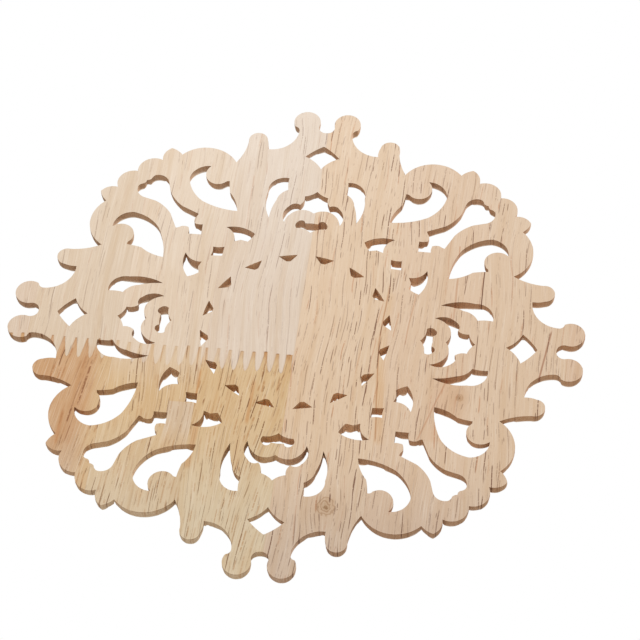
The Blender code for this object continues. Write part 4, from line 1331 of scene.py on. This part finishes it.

# %% [markdown]
# ### Carved face
#
# The hollows get painted shade: the crease values darken them brown, as if less light reached them.
# Where the tool cut across the grain, the open ends of the vessels show as small dark specks. They
# are the cells of a Voronoi texture, squeezed along the grain.

# %% Tone the carved face
HOLLOW_SHADE, SPECK_BROWN = (0.58, 0.40, 0.26, 1.0), (0.50, 0.36, 0.26, 1.0)
painted_crease_shade = blank.node("ShaderNodeAttribute", {"attribute_name": "crease_shade"}, {}, 2).ramp(0.15, 1.0)
# Painted shade: the hollows of the carving are darkened brown by their crease values.
colour = colour.darkened(painted_crease_shade * carved_side * 0.75, HOLLOW_SHADE)
end_pores = blank.node("ShaderNodeTexVoronoi", {"feature": "F1"},
                       {"Vector": field(right, up * 0.35, depth), "Scale": 0.9})
specks = (1.0 - end_pores.ramp(0.08, 0.22)) * carved_side
colour = colour.darkened(specks * 0.35, SPECK_BROWN)
print("carving toned")

# %% [markdown]
# ### Touch of the wood
#
# Sanded wood is dull, and sawn walls are duller still. Pores are open grooves and fibres stand up
# a little, less than a tenth of a millimetre, so a Bump node shows them by bending the light. Real
# geometry at that size would need many millions of faces.

# %% Roughness and fine relief
DULL, DULLER_FIBRE, DULLER_WALL = 0.62, 0.10, 0.14
FIBRE_RELIEF, PORE_RELIEF, SOFT_RELIEF = 0.35, 1.3, 0.5
RELIEF_DEEP = 0.0004                  # metres: what one whole step of relief stands for
rough = DULL + fibre * DULLER_FIBRE + wall * DULLER_WALL
relief = fibre * FIBRE_RELIEF - pores * PORE_RELIEF
relief = relief + noise(field(right * 0.6, up * 0.6, depth * 0.6), 1.0, 3.0) * SOFT_RELIEF
bump = blank.node("ShaderNodeBump", {},
                  {"Strength": 0.35, "Distance": RELIEF_DEEP, "Height": relief})
for tone, socket in ((colour, "Base Color"), (rough, "Roughness"), (bump, "Normal")):
    tree.links.new(tone.socket, surface.inputs[socket])
surface.inputs["Specular IOR Level"].default_value = 0.25
shape.materials.append(wood)
print("nodes in the finish:", len(tree.nodes))

# %% [markdown]
# ## Camera, light and floor
#
# The piece was photographed from behind and a little below, with a long lens, on plain white. The
# camera is placed from measured values: its focal length in pixels, and how the piece is turned
# and moved in front of it. Turning that round gives the camera's own place. Placing it by eye
# would be quicker, but then no edge would fall quite where it falls in the photograph.

# %% Set the camera
IMAGE, FOCAL = 640, 2677.35           # width of the image and focal length, both in pixels
SENSOR = 36.0
TURNED = Vector((-36.69124651, -3.6762922, -6.14594962))     # axis, as long as the angle in degrees
MOVED = Vector((-0.01271884, -0.0053041, -1.38105744))       # metres
FROM_BACK = Matrix(((-1, 0, 0), (0, 0, 1), (0, 1, 0)))       # drawing's right, up, out to the frame
view = bpy.data.cameras.new("camera")
view.sensor_width = SENSOR
view.lens = FOCAL / IMAGE * SENSOR
view.clip_start = 0.05
camera = bpy.data.objects.new("camera", view)
bpy.context.scene.collection.objects.link(camera)
bpy.context.scene.camera = camera
spin = Matrix.Rotation(math.radians(TURNED.length), 3, TURNED.normalized()).transposed()
stand = FROM_BACK @ (spin @ -MOVED)
camera.matrix_world = Matrix.Translation(stand) @ (FROM_BACK @ spin).to_4x4()
print("camera at", tuple(round(v, 3) for v in camera.matrix_world.translation))

# %% [markdown]
# A pale surround lights the piece from all sides, as white walls and a white table do. It looks
# whiter to the camera than it lights the wood, so that the wood isn't bleached: the Light Path
# node tells the camera's rays from all others. One large soft lamp on each side lets the walls and
# the carving throw soft shade.

# %% Set the surround
SURROUND = 0.62                       # light that the white surround gives, against how it looks
world = bpy.data.worlds.new("studio")
world.use_nodes = True
bpy.context.scene.world = world
backdrop = world.node_tree.nodes["Background"]
backdrop.inputs["Color"].default_value = (1.0, 1.0, 1.0, 1.0)
seen = Tone(world.node_tree).node("ShaderNodeLightPath", {}, {}, "Is Camera Ray")
glow = seen * (1.0 - SURROUND) + SURROUND
world.node_tree.links.new(glow.socket, backdrop.inputs["Strength"])
bpy.context.scene.view_settings.view_transform = "Standard"
print("surround lights with", SURROUND)

# %% Set the lamps
def lamp(name, place, size, watts):
    """A large soft lamp that looks at the middle of the piece."""
    light = bpy.data.lights.new(name, "AREA")
    light.shape = "DISK"
    light.size = size
    light.energy = watts
    body = bpy.data.objects.new(name, light)
    body.location = place
    body.rotation_euler = (-Vector(place)).to_track_quat("-Z", "Y").to_euler()
    bpy.context.scene.collection.objects.link(body)
    return body


lamps = [lamp("back_key", (0.55, 0.80, 0.75), 0.5, 9.0),
         lamp("front_key", (-0.85, -0.60, 0.80), 0.35, 16.0)]
print("lamps:", [body.name for body in lamps])

# %% [markdown]
# The floor is one plain pale sheet. It lies well below the piece, clear of the camera, which
# stands low, and it reaches so far that its edge is never near.

# %% Lay the floor
FLOOR_BELOW, FLOOR_REACH = 0.85, 12.0                        # metres
FLOOR_PALE = (0.85, 0.85, 0.85, 1.0)
level = low[2] - FLOOR_BELOW
sheet = bpy.data.meshes.new("floor")
sheet.from_pydata([(x * FLOOR_REACH, y * FLOOR_REACH, level)
                   for x, y in ((-1, -1), (1, -1), (1, 1), (-1, 1))], [], [(0, 1, 2, 3)])
floor = bpy.data.objects.new("floor", sheet)
bpy.context.scene.collection.objects.link(floor)
paint = bpy.data.materials.new("floor_paint")
paint.use_nodes = True
paint.node_tree.nodes["Principled BSDF"].inputs["Base Color"].default_value = FLOOR_PALE
paint.node_tree.nodes["Principled BSDF"].inputs["Roughness"].default_value = 0.9
sheet.materials.append(paint)
print(f"floor at {level:.2f} m")
